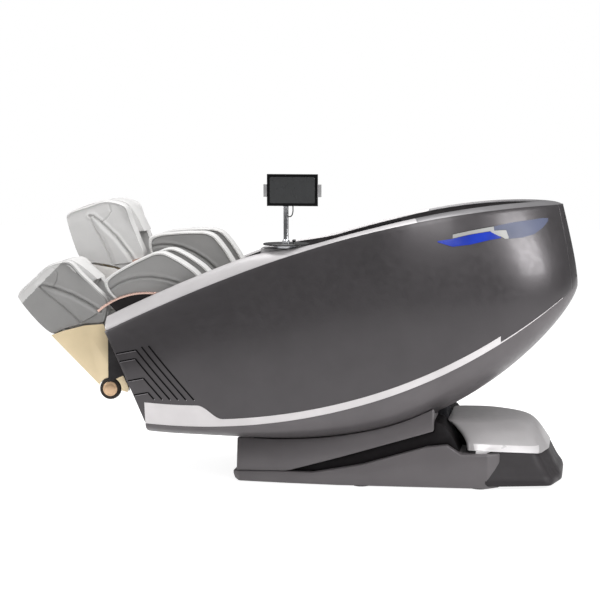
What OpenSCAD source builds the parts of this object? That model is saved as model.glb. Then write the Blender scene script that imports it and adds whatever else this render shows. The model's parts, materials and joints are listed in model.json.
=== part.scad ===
// Lounge massage chair: a boat-shaped pod on a low base, with two leg rests
// that lift and extend on their own. All sizes are in millimetres. +X points to the head
// end, +Z up, and the origin lies on the floor under the middle of the base.

/* [Pod shell] */
// Half the width of the pod along its rim
pod_half_w = 380; // [370:2:390]
// How far the side shells swell out beyond the rim
pod_bulge = 34; // [20:2:40]
// Wall thickness of the moulded shells
shell_t = 8; // [5:1:10]
// X of the rim's tip at the foot end
bow_x = -1030; // [-1050:5:-1010]
// Height of the rim's tip at the foot end
bow_z = 545; // [530:5:560]
// Slope of the rim at the foot end
bow_slope = 0.48; // [0.44:0.01:0.5]
// Run of the slanted front edge of each side shell, from the rim to the crease
cut_run = 150; // [130:5:170]
// How far the side shells close in at the foot end
bow_tuck = 8; // [4:1:12]
// Height of the rim at the head end
rim_top_z = 990; // [975:5:1005]
// X where the rim ends at the head end
stern_top_x = 576; // [560:2:590]
// X of the rearmost point of the pod
stern_x = 632; // [620:2:650]
// X where the rounded head end starts
taper_x = -60; // [-90:5:-30]
// Height of the crease between side shells and belly, at its lowest
crease_low_z = 212; // [206:1:220]
// X of the lowest point of the crease
crease_low_x = -700; // [-720:5:-680]
// Radius of the crease line, seen from the side
crease_r = 2047; // [2020:1:2080]
// Depth of the belly below the crease under the seat
keel_depth = 143; // [130:1:150]
// Depth of the belly below the crease at the foot end
keel_bow_depth = 50; // [40:1:60]

/* [Trim] */
// Height of the light strip along the crease
strip_h = 28; // [20:1:34]
// Height of that strip's wedge at the foot end
strip_bow_h = 78; // [60:1:86]
// Thickness of the strips, lamps and lines laid on the side shells
inlay_t = 1.5; // [1:0.5:2.5]
// Width of the rim band, seen from above
band_w = 56; // [50:1:60]
// Rise of the rim band's inner edge at the foot end
band_rise_bow = 50; // [40:1:56]
// Rise of the rim band's inner edge at the head end
band_rise_stern = 12; // [8:1:16]
// Width of the vent lines
line_w = 4; // [3:0.5:6]

/* [Base] */
// X of the front of the base
base_front_x = -585; // [-600:5:-570]
// X of the rear of the base
base_rear_x = 586; // [570:2:600]
// Half the width of the base at its widest
base_half_w = 335; // [320:5:345]
// Half the width of the open middle of the base
base_gap_half_w = 118; // [110:2:124]
// Thickness of the steel floor plate
base_plate_t = 6; // [5:1:8]
// Gap between the pod's belly and the base
cradle_gap = 3; // [2:0.5:5]
// Height of the rear cover
cover_z = 262; // [250:2:264]
// Radius of a rubber foot
foot_r = 28; // [22:1:34]
// Height of a rubber foot below the floor plate
foot_h = 5; // [4:1:8]

/* [Recline hinge] */
// X of the hinge between the base and the pod
hinge_x = 150; // [144:2:156]
// Depth of that hinge below the belly
hinge_drop = 32; // [30:1:36]
// Radius of the hinge pin
hinge_pin_r = 10; // [8:1:12]
// Radial play of every pin in its bore
pin_play = 0.05; // [0.02:0.01:0.1]

/* [Leg rests] */
// X of the knee axis
knee_x = -670; // [-680:2:-660]
// Height of the knee axis
knee_z = 541; // [535:1:548]
// Radius of the knee tube
knee_r = 16; // [14:1:18]
// Width of one leg rest
leg_w = 284; // [276:2:286]
// Distance of each leg rest's middle plane from the middle of the chair
leg_y = 152; // [148:1:154]
// Angle of the left calf below level
leg_drop_left = 45; // [40:1:50]
// Angle of the right calf below level
leg_drop_right = 21; // [16:1:26]
// Radius of the rose-gold arc on the leg's side plates
arc_r = 271; // [266:1:274]
// Thickness of the leg's side plates
leg_plate_t = 5; // [4:0.5:6]
// Half the width of the channel for the calf or the foot
channel_half_w = 63; // [58:1:66]
// Radius of a transport wheel
wheel_r = 38; // [34:1:40]
// Radius of a wheel's axle
axle_r = 6; // [5:0.5:7]
// Wall thickness of the gold foot shell
foot_shell_t = 4; // [3:0.5:4]
// Radius of a foot roller
roller_r = 15; // [12:1:15]

/* [Seat] */
// Half the width of the seat cushion
seat_half_w = 232; // [220:2:240]
// Thickness of the seat cushion
seat_t = 86; // [70:2:100]
// Angle of the backrest above level
back_angle = 35; // [33:1:36]
// Length of the back cushion
back_len = 640; // [600:5:660]
// Thickness of the back cushion
back_t = 56; // [46:2:64]
// Distance of the massage rails behind the back cushion's front
rail_depth = 110; // [104:1:116]
// Half the distance between the massage rails
rail_half_gap = 92; // [86:1:96]
// Radius of a massage rail
rail_r = 9; // [8:0.5:10]
// Radius of a kneading roller
knead_r = 26; // [22:1:28]

/* [Console and tablet] */
// X of the mast
mast_x = -390; // [-400:2:-380]
// Y of the mast
mast_y = -285; // [-292:1:-278]
// Height of the console plate's top
console_z = 842; // [838:1:848]
// Radius of the dark disc under the mast
disc_r = 81; // [70:1:84]
// Radius of the knurled dial
dial_r = 38; // [34:1:40]
// Radius of the mast
mast_r = 7; // [6:0.5:8]
// Height of the middle of the tablet
tablet_z = 1048; // [1040:1:1056]
// Width of the tablet
tablet_w = 180; // [170:1:190]
// Height of the tablet's housing
tablet_h = 112; // [106:1:118]
// Thickness of the tablet
tablet_t = 10; // [8:1:12]

/* [Hidden] */
$fn = 48;

// ---------------------------------------------------------------- helpers
function mix(a, b, t) = a + (b - a) * t;
function limit(t, lo, hi) = min(max(t, lo), hi);
function ease(t) = let (u = limit(t, 0, 1)) u * u * (3 - 2 * u);
function hermite(t, a, b, slope_a, slope_b, run) =
  (2 * pow(t, 3) - 3 * t * t + 1) * a + (3 * t * t - 2 * pow(t, 3)) * b
  + run * ((pow(t, 3) - 2 * t * t + t) * slope_a + (pow(t, 3) - t * t) * slope_b);

// A closed solid between two grids of points, each a list of rows. The rows of grid b run
// counter-clockwise seen from outside, and grid a lies behind it.
module slab(a, b) {
  rows = len(a);
  cols = len(a[0]);
  points = [for (row = a) each row, for (row = b) each row];
  function pa(i, j) = i * cols + j;
  function pb(i, j) = rows * cols + i * cols + j;
  faces = [
    for (i = [0:rows - 2]) for (j = [0:cols - 2])
      each [[pa(i, j), pa(i + 1, j), pa(i + 1, j + 1)], [pa(i, j), pa(i + 1, j + 1), pa(i, j + 1)],
            [pb(i, j), pb(i + 1, j + 1), pb(i + 1, j)], [pb(i, j), pb(i, j + 1), pb(i + 1, j + 1)]],
    for (i = [0:rows - 2])
      each [[pa(i, 0), pb(i, 0), pb(i + 1, 0)], [pa(i, 0), pb(i + 1, 0), pa(i + 1, 0)],
            [pa(i, cols - 1), pb(i + 1, cols - 1), pb(i, cols - 1)],
            [pa(i, cols - 1), pa(i + 1, cols - 1), pb(i + 1, cols - 1)]],
    for (j = [0:cols - 2])
      each [[pa(0, j), pb(0, j + 1), pb(0, j)], [pa(0, j), pa(0, j + 1), pb(0, j + 1)],
            [pa(rows - 1, j), pb(rows - 1, j), pb(rows - 1, j + 1)],
            [pa(rows - 1, j), pb(rows - 1, j + 1), pa(rows - 1, j + 1)]]
  ];
  polyhedron(points, faces, convexity = 6);
}

// A padded block: a side outline in X and Z, listed clockwise, swelling across Y with rounded
// edges.
module pad_block(outline, y_mid, half, edge, rings) {
  count = len(outline);
  centre = [for (k = [0:1]) let (v = [for (p = outline) p[k]]) (max(v) + min(v)) / 2];
  reach = max([for (p = outline) norm(p - centre)]);
  function ring(a) =
    let (s = 1 - edge / reach * (1 - cos(a)))
    [for (p = outline)
      let (q = centre + (p - centre) * s)
      [q[0], y_mid + half * sin(a) / sin(last), q[1]]];
  last = 62;
  turns = [for (k = [0:rings]) -last + 2 * last * k / rings];
  points = [for (a = turns) each ring(a)];
  faces = [
    for (k = [0:rings - 1]) for (i = [0:count - 1])
      let (n = (i + 1) % count, p = k * count, q = (k + 1) * count)
      each [[p + i, q + n, p + n], [p + i, q + i, q + n]],
    [for (i = [0:count - 1]) i],
    [for (i = [count - 1:-1:0]) rings * count + i]
  ];
  polyhedron(points, faces, convexity = 6);
}

module mirror_copy() {
  children();
  mirror([0, 1, 0]) children();
}

// A plate with a side outline in X and Z, between two values of Y.
module side_plate(y0, y1) {
  translate([0, y1, 0]) rotate([90, 0, 0]) linear_extrude(y1 - y0) children();
}

module y_tube(x, z, r, y0, y1) {
  translate([x, y0, z]) rotate([-90, 0, 0]) cylinder(r = r, h = y1 - y0);
}

// ---------------------------------------------------------------- lines of the pod
side_steps = 18;
stern_steps = 14;
last_step = side_steps + stern_steps;
panel_step = last_step - 2;
rear_rim_step = side_steps + 2;
strip_last_step = side_steps + 6;
wall_rows = 7;
// The plan outline is an ellipse low down and draws to a point towards the rim.
plan_power_gain = 0.5;
stern_power = 1.45;

function crease_z(x) = crease_low_z + crease_r - sqrt(pow(crease_r, 2) - pow(x - crease_low_x, 2));
rim_run = stern_top_x - bow_x;
function rim_z(x) = hermite(limit((x - bow_x) / rim_run, 0, 1), bow_z, rim_top_z, bow_slope, 0, rim_run);
function half_w_at(v) = pod_half_w + pod_bulge * (1 - pow((v - 0.45) / 0.55, 2));
function stern_x_at(v) = stern_x - (stern_x - stern_top_x) * pow(limit(v, 0, 1), stern_power);
function plan_power(v) = 1 + plan_power_gain * pow(limit(v, 0, 1), 2);
function tuck(x) = x < taper_x ? bow_tuck * pow((taper_x - x) / (taper_x - bow_x), 2) : 0;
function bow_x_at(v) = bow_x + cut_run * (1 - v);

// Half-width of the pod at a given x, on the line at fraction v from the crease to the rim.
function wall_y(x, v, inset) =
  let (w = half_w_at(v) - inset, run = stern_x_at(v) - inset - taper_x)
  x <= taper_x ? w - tuck(x) : w * pow(cos(asin(limit((x - taper_x) / run, 0, 1))), plan_power(v));
function wall_x(i, v, inset) =
  i <= side_steps ? mix(bow_x_at(v), taper_x, i / side_steps)
                  : taper_x + (stern_x_at(v) - inset - taper_x) * sin((i - side_steps) / stern_steps * 90);
function wall_z(x, v) = mix(crease_z(x), rim_z(x), v);
function wall_point(i, v, inset, side) =
  let (x = wall_x(i, v, inset)) [x, side * wall_y(x, v, inset), wall_z(x, v)];
// The point of the wall at a given x and height.
function skin_point(x, z, inset, side) =
  [x, side * wall_y(x, (z - crease_z(x)) / (rim_z(x) - crease_z(x)), inset), z];

module wall_patch(i0, i1, v0, v1, rows, out, in) {
  slab([for (i = [i0:i1]) [for (j = [0:rows]) wall_point(i, mix(v0, v1, j / rows), in, -1)]],
       [for (i = [i0:i1]) [for (j = [0:rows]) wall_point(i, mix(v0, v1, j / rows), out, -1)]]);
}

// Height of the belly's outer face.
keel_bow_x = -750;
keel_full_x = 100;
function keel_d(x) =
  x < keel_full_x ? mix(keel_bow_depth, keel_depth, ease((x - keel_bow_x) / (keel_full_x - keel_bow_x)))
                  : keel_depth * sqrt(max(0, 1 - pow((x - keel_full_x) / (stern_x - keel_full_x), 2)));
function belly_round(k) = sqrt(max(0, 1 - pow(abs(k), 4)));
function belly_z(x, y) = crease_z(x) - keel_d(x) * belly_round(min(1, abs(y) / wall_y(x, 0, 0)));
hinge_z = round(belly_z(hinge_x, 0)) - hinge_drop;

// ---------------------------------------------------------------- pod shells
// The seam between the belly and each side shell, as a fraction of the shell's height.
seam_v = 0.0005;
module side_shell() {
  color("#464446") wall_patch(0, panel_step, seam_v, 1, wall_rows, 0, shell_t);
}

module rear_panel() {
  fan = [for (i = [panel_step:last_step]) [i, -1], for (i = [last_step - 1:-1:panel_step]) [i, 1]];
  color("#8c8c8e")
    slab([for (s = fan) [for (j = [0:wall_rows]) wall_point(s[0], j / wall_rows, shell_t, s[1])]],
         [for (s = fan) [for (j = [0:wall_rows]) wall_point(s[0], j / wall_rows, 0, s[1])]]);
}

belly_cols = 10;
function across(j) = sin(90 * (2 * j / belly_cols - 1));
belly_facets = [for (j = [0:belly_cols]) [across(j), belly_round(across(j))]];
module belly_pan() {
  function outer(i, j) =
    let (x = wall_x(i, 0, 0), w = wall_y(x, 0, 0), k = across(j))
    [x, w * k, crease_z(x) - keel_d(x) * belly_round(k)];
  function inner(i, j) =
    let (x = wall_x(i, 0, 0), w = wall_y(x, 0, 0), k = across(j))
    [x, (w - min(shell_t, 0.4 * w)) * k,
     crease_z(x) - (keel_d(x) - min(shell_t, 0.5 * keel_d(x))) * belly_round(k)];
  last = last_step - 1;
  color("#605c5e")
    slab([for (i = [0:last]) [for (j = [0:belly_cols]) outer(i, j)]],
         [for (i = [0:last]) [for (j = [0:belly_cols]) inner(i, j)]]);
}

strip_step_x = -690;
strip_step_run = 90;
inlay_gap = 0.3;
lamp_gap = 0.5;
function strip_top(x) =
  crease_z(x) + strip_h + (strip_bow_h - strip_h) * (1 - ease((x - strip_step_x) / strip_step_run));
module bottom_strips() {
  lift = 1;
  function row(i, inset) =
    let (x = wall_x(i, 0, 0))
    [for (z = [crease_z(x) + lift, (crease_z(x) + strip_top(x)) / 2, strip_top(x)])
      skin_point(x, z, inset, -1)];
  color("#dad6d7")
    mirror_copy()
      slab([for (i = [0:strip_last_step]) row(i, -inlay_gap)],
           [for (i = [0:strip_last_step]) row(i, -inlay_gap - inlay_t)]);
}

// A thin line laid on the side shell from point a to point b, each an x and a z.
line_pieces = 4;
module skin_line(a, b) {
  across = [-(b - a)[1], (b - a)[0]] / norm(b - a) * line_w / 2;
  function row(t, inset) =
    let (p = a + (b - a) * t)
    [for (s = [-1, 1]) skin_point(p[0] + s * across[0], p[1] + s * across[1], inset, -1)];
  slab([for (k = [0:line_pieces]) row(k / line_pieces, -inlay_gap)],
       [for (k = [0:line_pieces]) row(k / line_pieces, -inlay_gap - inlay_t)]);
}

// Six slanted lines end just above the strip's wedge. Four of them bend forward to the front edge.
line_foot = [-845, 309];
line_pitch = 28.8;
line_dir = [-0.65, 0.76];
line_lengths = [32, 100, 190, 230, 245, 250];
lead_dir = [-0.98, -0.2];
lead_lengths = [52, 58, 58, 74];
module vent_lines() {
  gap = line_w / 2;
  color("#201e20")
    mirror_copy() for (k = [0:5]) {
      foot = [line_foot[0] + k * line_pitch, max(line_foot[1], strip_top(line_foot[0] + k * line_pitch) + 6)];
      bend = foot + line_dir * line_lengths[k];
      skin_line(foot, bend);
      if (k < 4)
        skin_line(bend + lead_dir * gap, bend + lead_dir * lead_lengths[k]);
    }
}

// A lamp lies on the side shell between a lower and an upper line, given at the same x values.
module skin_lamp(xs, lows, tops) {
  last = 2 * (len(xs) - 1);
  function part(list, k) = k % 2 == 0 ? list[k / 2] : (list[(k - 1) / 2] + list[(k + 1) / 2]) / 2;
  function row(k, inset) =
    [for (t = [0, 0.5, 1]) skin_point(part(xs, k), mix(part(lows, k), part(tops, k), t), inset, -1)];
  slab([for (k = [0:last]) row(k, -lamp_gap)], [for (k = [0:last]) row(k, -lamp_gap - inlay_t)]);
}

// Heights of the lamps are given below the rim, so they follow it.
lamp_xs = [153, 204, 263, 330, 368];
lamp_low_drop = [80, 104, 106, 99, 97];
lamp_top_drop = [76, 77, 72, 70, 94];
lens_xs = [344, 384, 396, 440, 480, 508, 526];
lens_low_drop = [67, 70, 102, 103, 95, 76, 54];
lens_top_drop = [54, 50, 48, 46, 44, 42, 44];
function below_rim(xs, drops) = [for (k = [0:len(xs) - 1]) rim_z(xs[k]) - drops[k]];
module blue_lamps() {
  color("#1438c8")
    mirror_copy()
      skin_lamp(lamp_xs, below_rim(lamp_xs, lamp_low_drop), below_rim(lamp_xs, lamp_top_drop));
}
module lamp_lenses() {
  color("#6a7090")
    mirror_copy()
      skin_lamp(lens_xs, below_rim(lens_xs, lens_low_drop), below_rim(lens_xs, lens_top_drop));
}

// ---------------------------------------------------------------- rim bands and liners
band_t = 8;
function band_rise(x) = mix(band_rise_bow, band_rise_stern, ease((x + 560) / 300));
band_profile = [[0, 0], [0.22, 0.42], [0.6, 0.84], [1, 1]];
function band_point(i, k, t) =
  let (x0 = wall_x(i, 1, 0), inset = band_w * band_profile[k][0] + t,
       x = wall_x(i, 1, inset), lift = band_rise(x0) * band_profile[k][1] - (k == 0 ? 0 : t))
  [x, -wall_y(x, 1, inset), rim_z(x0) + lift];
module band(i0, i1) {
  slab([for (i = [i0:i1]) [for (k = [0:3]) band_point(i, k, band_t)]],
       [for (i = [i0:i1]) [for (k = [0:3]) band_point(i, k, 0)]]);
}
module rim_band() {
  color("#b4b2b2") band(0, rear_rim_step);
}
module rim_rear() {
  color("#5a585a") mirror_copy() band(rear_rim_step, last_step);
}

liner_t = 4;
liner_drop = 230;
liner_gap = 0.5;
liner_inset = band_w + 2;
// The band's underside at the liner, as a fraction of the band's rise.
band_knee = band_profile[2];
liner_rise =
  mix(band_knee[1], 1, (liner_inset - band_t - band_w * band_knee[0]) / (band_w * (1 - band_knee[0])));
function liner_point(i, v, inset) =
  let (x = wall_x(i, 1, inset), x0 = wall_x(i, 1, 0))
  [x, -wall_y(x, 1, inset),
   rim_z(x0) + band_rise(x0) * liner_rise - band_t - liner_gap - liner_drop * (1 - v)];
liner_last_step = last_step - 3;
module liners() {
  color("#1e1b1c")
    mirror_copy()
      slab([for (i = [0:liner_last_step]) [for (j = [0:2]) liner_point(i, j / 2, liner_inset + liner_t)]],
           [for (i = [0:liner_last_step]) [for (j = [0:2]) liner_point(i, j / 2, liner_inset)]]);
}

// The caps close the front of each side, between the shell and the liner.
cap_t = 6;
cap_end_v = 0.01;
module bow_caps() {
  vs = [cap_end_v, for (j = [1:wall_rows - 1]) j / wall_rows, 1 - cap_end_v];
  function p(v, inset, back) =
    let (x = bow_x_at(v) + back) [x, -wall_y(x, v, inset), wall_z(x, v)];
  in = band_w - band_t;
  function sheet(back) = [for (k = [0:2]) [for (v = vs) p(v, mix(shell_t + fit_gap, in, k / 2), back)]];
  color("#3a383a") mirror_copy() slab(sheet(0), sheet(cap_t));
}

// ---------------------------------------------------------------- base
plinth_bow_half_w = 285;
plinth_tail_half_w = 92;
plinth_wide_x = 330;
base_wall_inset = 12;
function base_w_at(x) =
  x < plinth_wide_x
    ? mix(plinth_bow_half_w, base_half_w, sin(90 * limit((x - base_front_x) / 500, 0, 1)))
    : mix(base_half_w, plinth_tail_half_w, (x - plinth_wide_x) / (base_rear_x - plinth_wide_x));

module base_plan(inset) {
  xs = [base_front_x, -560, -500, -400, -200, plinth_wide_x, base_rear_x];
  side = [for (x = xs)
    let (corner = x == base_front_x ? 22 : 0)
    [limit(x, base_front_x + inset, base_rear_x - inset), base_w_at(x) - inset - corner]];
  polygon([each side, for (k = [len(xs) - 1:-1:0]) [side[k][0], -side[k][1]]]);
}

module base_outline_cut(inset, z0, z1) {
  translate([0, 0, z0]) linear_extrude(z1 - z0) base_plan(inset);
}

fit_gap = 0.3;
plinth_end_x = 370;
tail_z = 124;
trim_t = 12;
floor_z = foot_h;
// The plinth's top edge and the cradle's lower edge part behind the front to form the recess.
plinth_top = [[base_front_x, 40], [-387, 46], [-291, 46], [-112, 80], [116, 148], [187, 156]];
cradle_low = [[base_front_x, 40 + fit_gap], [-387, 46 + fit_gap], [-177, 108], [162, 210]];
function along_line(line, x, k = 0) =
  k >= len(line) - 2 || x <= line[k + 1][0]
    ? mix(line[k][1], line[k + 1][1], (x - line[k][0]) / (line[k + 1][0] - line[k][0]))
    : along_line(line, x, k + 1);
module base_plinth() {
  color("#646062")
    difference() {
      intersection() {
        side_plate(-base_half_w, base_half_w)
          polygon([[base_front_x, floor_z + 22], [base_front_x + 7, floor_z + 7],
                   [base_front_x + 22, floor_z], [plinth_end_x, floor_z], [plinth_end_x, tail_z],
                   [236, tail_z],
                   for (k = [len(plinth_top) - 1:-1:0]) plinth_top[k]]);
        base_outline_cut(0, 0, cover_z);
      }
      translate([base_front_x + 30, -base_gap_half_w, floor_z - 1])
        cube([plinth_end_x - base_front_x, 2 * base_gap_half_w, cover_z]);
    }
}

// The rear of the base: its flanks lean in and meet at the rounded tail.
flank_lean = 44;
tail_run = 66;
tail_foot_z = floor_z + 14;
inlet_z = 66;
// Half-widths of the rear cover's foot, shoulder, brow and top, at its front.
cover_foot_w = base_half_w - 35;
cover_shoulder_w = base_half_w - 107;
cover_brow_w = base_half_w - 129;
cover_top_w = base_half_w - 151;
// A six-sided plan from x0 to x2, w0 wide up to x1 and w2 wide at the rear.
module cover_plan(x0, x1, x2, w0, w1, w2) {
  polygon([[x0, w0], [x1, w1], [x2, w2], [x2, -w2], [x1, -w1], [x0, -w0]]);
}
module base_cover() {
  tail_start = plinth_end_x + fit_gap;
  tail_w = base_w_at(tail_start);
  color("#8c898b")
    difference() {
      union() {
        hull() {
          translate([0, 0, floor_z])
            linear_extrude(14)
              polygon([[tail_start, tail_w], [base_rear_x, plinth_tail_half_w],
                       [base_rear_x, -plinth_tail_half_w], [tail_start, -tail_w]]);
          translate([0, 0, tail_z - 1])
            linear_extrude(1)
              polygon([[tail_start, tail_w - flank_lean], [base_rear_x - tail_run, plinth_tail_half_w + 10],
                       [base_rear_x - tail_run, -plinth_tail_half_w - 10],
                       [tail_start, flank_lean - tail_w]]);
        }
        hull() {
          translate([0, 0, tail_z + trim_t])
            linear_extrude(4)
              cover_plan(262, 300, base_rear_x - 84, cover_foot_w, cover_foot_w + 2, plinth_tail_half_w + 16);
          translate([0, 0, cover_z - 34])
            linear_extrude(2)
              cover_plan(204, 330, 440, cover_shoulder_w, cover_shoulder_w + 2, 120);
          translate([0, 0, cover_z - 10])
            linear_extrude(1)
              cover_plan(188, 320, 388, cover_brow_w, cover_brow_w + 2, 100);
          translate([0, 0, cover_z - 1])
            linear_extrude(1)
              cover_plan(198, 306, 346, cover_top_w, cover_top_w + 4, 84);
        }
      }
      translate([150, -base_gap_half_w, -1]) cube([290, 2 * base_gap_half_w, tail_z + 60]);
    }
}

// The bright chamfered strip between the tail and the rear cover, open to the front.
trim_front_x = 287;
module base_trim() {
  color("#d7d5d6")
    difference() {
      hull() {
        translate([0, 0, tail_z])
          linear_extrude(1)
            cover_plan(276, 374, base_rear_x - tail_run, cover_foot_w + 12, base_half_w - 59,
                       plinth_tail_half_w + 12);
        translate([0, 0, tail_z + trim_t - 1])
          linear_extrude(1)
            cover_plan(264, 300, base_rear_x - 80, cover_foot_w, cover_foot_w + 2, plinth_tail_half_w + 14);
      }
      translate([0, 0, tail_z - 1])
        linear_extrude(trim_t + 2)
          cover_plan(200, 326, 474, base_half_w - 65, base_half_w - 69, 84);
      translate([200, -base_half_w, tail_z - 10]) cube([trim_front_x - 200, 2 * base_half_w, 40]);
    }
}

// The dark core shows in the blade-shaped recess between the plinth and the cradle.
core_inset = 30;
core_xs = [-385, -291, -177, -112, 0, 116, 140];
module base_core() {
  color("#322e30")
    mirror_copy()
      intersection() {
        side_plate(base_gap_half_w + 1, base_half_w)
          polygon([for (x = core_xs) [x, along_line(plinth_top, x) + fit_gap],
                   [187, 156 + fit_gap], [230, 130], [200, 230], [cradle_end_x + 44, cover_z - 22],
                   [cradle_end_x + 30, cover_z - 12], [cradle_end_x + fit_gap, 236],
                   [cradle_end_x + fit_gap, along_line(cradle_low, cradle_end_x) - 6],
                   for (k = [len(core_xs) - 2:-1:1])
                     [core_xs[k], along_line(cradle_low, core_xs[k]) - fit_gap]]);
        base_outline_cut(core_inset, 0, cover_z);
      }
}

// The cradle follows the belly from below. Its outer wall leans in towards the top.
cradle_end_x = 140;
cradle_steps = 9;
cradle_cols = 6;
cradle_low_inset = 8;
cradle_top_inset = 26;
module base_cradle() {
  function x_at(i) = mix(base_front_x + 14, cradle_end_x, i / cradle_steps);
  function y_at(i, j, inset) = -mix(base_gap_half_w, base_w_at(x_at(i)) - inset, j / cradle_cols);
  top = [for (i = [0:cradle_steps]) [for (j = [0:cradle_cols])
    let (x = x_at(i), y = y_at(i, j, cradle_top_inset)) [x, y, belly_z(x, y) - cradle_gap]]];
  low = [for (i = [0:cradle_steps]) [for (j = [0:cradle_cols])
    [x_at(i), y_at(i, j, cradle_low_inset), along_line(cradle_low, x_at(i))]]];
  color("#646062") {
    slab(top, low);
    mirror([0, 1, 0]) slab(top, low);
  }
}

motor_foot = [-430, 50];
rod_eye = [hinge_x - 40, hinge_z - 142];
eye_pin_r = 8;
eye_gap = 1.5;
module base_frame() {
  color("#3c3c40") {
    translate([0, 0, floor_z])
      linear_extrude(base_plate_t) square_plate(base_front_x + 30, 386, base_gap_half_w);
    for (s = [-1, 1]) {
      side_plate(s * 70 - 5, s * 70 + 5)
        difference() {
          hull() {
            translate([hinge_x, hinge_z]) circle(r = 24);
            translate([hinge_x - 90, floor_z + base_plate_t]) square([180, 1]);
          }
          translate([hinge_x, hinge_z]) circle(r = hinge_pin_r + pin_play);
        }
      side_plate(s * 34 - 4, s * 34 + 4)
        difference() {
          hull() {
            translate(motor_foot) circle(r = 16);
            translate([motor_foot[0] - 40, floor_z + base_plate_t]) square([80, 1]);
          }
          translate(motor_foot) circle(r = eye_pin_r + pin_play);
        }
    }
  }
}

module square_plate(x0, x1, half) {
  translate([x0, -half]) square([x1 - x0, 2 * half]);
}

module base_feet() {
  color("#1a1a1a")
    {
      cylinder(r = foot_r, h = foot_h);
      for (p = [[base_front_x + 60, 230], [-120, 290], [300, 290], [base_rear_x - 60, 80]]) for (s = [-1, 1])
        translate([p[0], s * p[1], 0]) cylinder(r = foot_r, h = foot_h);
    }
}

module power_inlet() {
  color("#151515")
    translate([base_rear_x - tail_run * (inlet_z - tail_foot_z) / (tail_z - 1 - tail_foot_z), 0, inlet_z])
      rotate([0, -atan(tail_run / (tail_z - 1 - tail_foot_z)), 0])
        difference() {
          translate([fit_gap, -26, -18]) cube([3, 52, 36]);
          translate([fit_gap + 1, -14, -9]) cube([10, 28, 18]);
        }
}

module hinge_pin() {
  color("#9a9a9e") y_tube(hinge_x, hinge_z, hinge_pin_r, -92, 92);
}

// ---------------------------------------------------------------- recline actuator
motor_reach = norm(rod_eye - motor_foot);
motor_angle = atan2((rod_eye - motor_foot)[1], (rod_eye - motor_foot)[0]);
motor_len = 290;
rod_r = 10;
eye_half_w = 16;
module on_motor_axis() {
  translate([motor_foot[0], 0, motor_foot[1]]) rotate([0, -motor_angle, 0]) children();
}
module recline_motor() {
  color("#26262a")
    on_motor_axis() {
      difference() {
        union() {
          rotate([90, 0, 0]) translate([0, 0, -29]) cylinder(r = 15, h = 58);
          translate([6, -20, -20]) cube([90, 40, 40]);
          translate([30, -20, 18]) cube([60, 40, 24]);
          translate([96, 0, 0]) rotate([0, 90, 0]) cylinder(r = 18, h = motor_len - 96);
        }
        translate([120, 0, 0]) rotate([0, 90, 0]) cylinder(r = rod_r + pin_play, h = motor_len);
      }
      rotate([90, 0, 0]) translate([0, 0, -40]) cylinder(r = eye_pin_r, h = 80);
    }
}
module recline_rod() {
  color("#b8b8bc")
    on_motor_axis()
      difference() {
        union() {
          translate([160, 0, 0]) rotate([0, 90, 0]) cylinder(r = rod_r, h = motor_reach - 160 - 12);
          rotate([90, 0, 0]) translate([motor_reach, 0, -eye_half_w]) cylinder(r = 17, h = 2 * eye_half_w);
        }
        rotate([90, 0, 0]) translate([motor_reach, 0, -eye_half_w - 1])
          cylinder(r = eye_pin_r + eye_gap, h = 2 * eye_half_w + 2);
      }
}

// ---------------------------------------------------------------- pod frame
frame_y = 303;
frame_t = 7;
frame_in = frame_y - frame_t / 2;
frame_out = frame_y + frame_t / 2;
back_foot = [-150, 450];
back_dir = [cos(back_angle), sin(back_angle)];
back_out = [-sin(back_angle), cos(back_angle)];
function on_back(along, out) = back_foot + back_dir * along + back_out * out;
// Height of the belly's inner face, which runs straight between the belly's rows and columns.
function belly_in_z(x, y) =
  let (k = limit(y / (wall_y(x, 0, 0) - shell_t), -1, 1))
  crease_z(x) - (keel_d(x) - shell_t) * along_line(belly_facets, k);
function belly_floor(x, y) =
  along_line([for (i = [0:last_step - 2]) let (row_x = wall_x(i, 0, 0)) [row_x, belly_in_z(row_x, y)]], x);

// The lugs and the lever are bolted to the belly from below and turn on the hinge pin.
lug_reach = 22;
lever_y = 22;
module pod_lugs() {
  color("#4a4a50") {
    for (s = [-1, 1]) {
      side_plate(s * 84 - 4, s * 84 + 4)
        difference() {
          hull() {
            translate([hinge_x, hinge_z]) circle(r = 20);
            for (x = [hinge_x - lug_reach, hinge_x + lug_reach - 1])
              translate([x, belly_z(x, 84) - 1]) square([1, 1]);
          }
          translate([hinge_x, hinge_z]) circle(r = hinge_pin_r + pin_play);
        }
      side_plate(s * lever_y - 4, s * lever_y + 3)
        difference() {
          union() {
            hull() {
              translate([hinge_x, hinge_z]) circle(r = 20);
              for (x = [hinge_x - 2 * lug_reach, hinge_x + lug_reach - 1])
                translate([x, belly_z(x, lever_y) - 1]) square([1, 1]);
            }
            hull() {
              translate([hinge_x, hinge_z]) circle(r = 20);
              translate(rod_eye) circle(r = 13);
            }
          }
          translate([hinge_x, hinge_z]) circle(r = hinge_pin_r + pin_play);
        }
    }
    y_tube(rod_eye[0], rod_eye[1], eye_pin_r, -lever_y - 6, lever_y + 6);
  }
}

// Bulkheads stand on the belly's inner face and carry the side plates.
bulkhead_t = 6;
bulkhead_lift = 0.7;
module bulkhead(x, top, half) {
  w = wall_y(x, 0, 0) - shell_t;
  x0 = x - bulkhead_t / 2;
  x1 = x + bulkhead_t / 2;
  ys = [-half, for (j = [1:belly_cols - 1]) if (abs(across(j)) * w < half - 2) across(j) * w, half];
  translate([x0, 0, 0])
    rotate([90, 0, 90])
      linear_extrude(bulkhead_t)
        polygon([for (y = ys) [y, max(belly_floor(x0, y), belly_floor(x1, y)) + bulkhead_lift],
                 [half, top], [-half, top]]);
}

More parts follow.
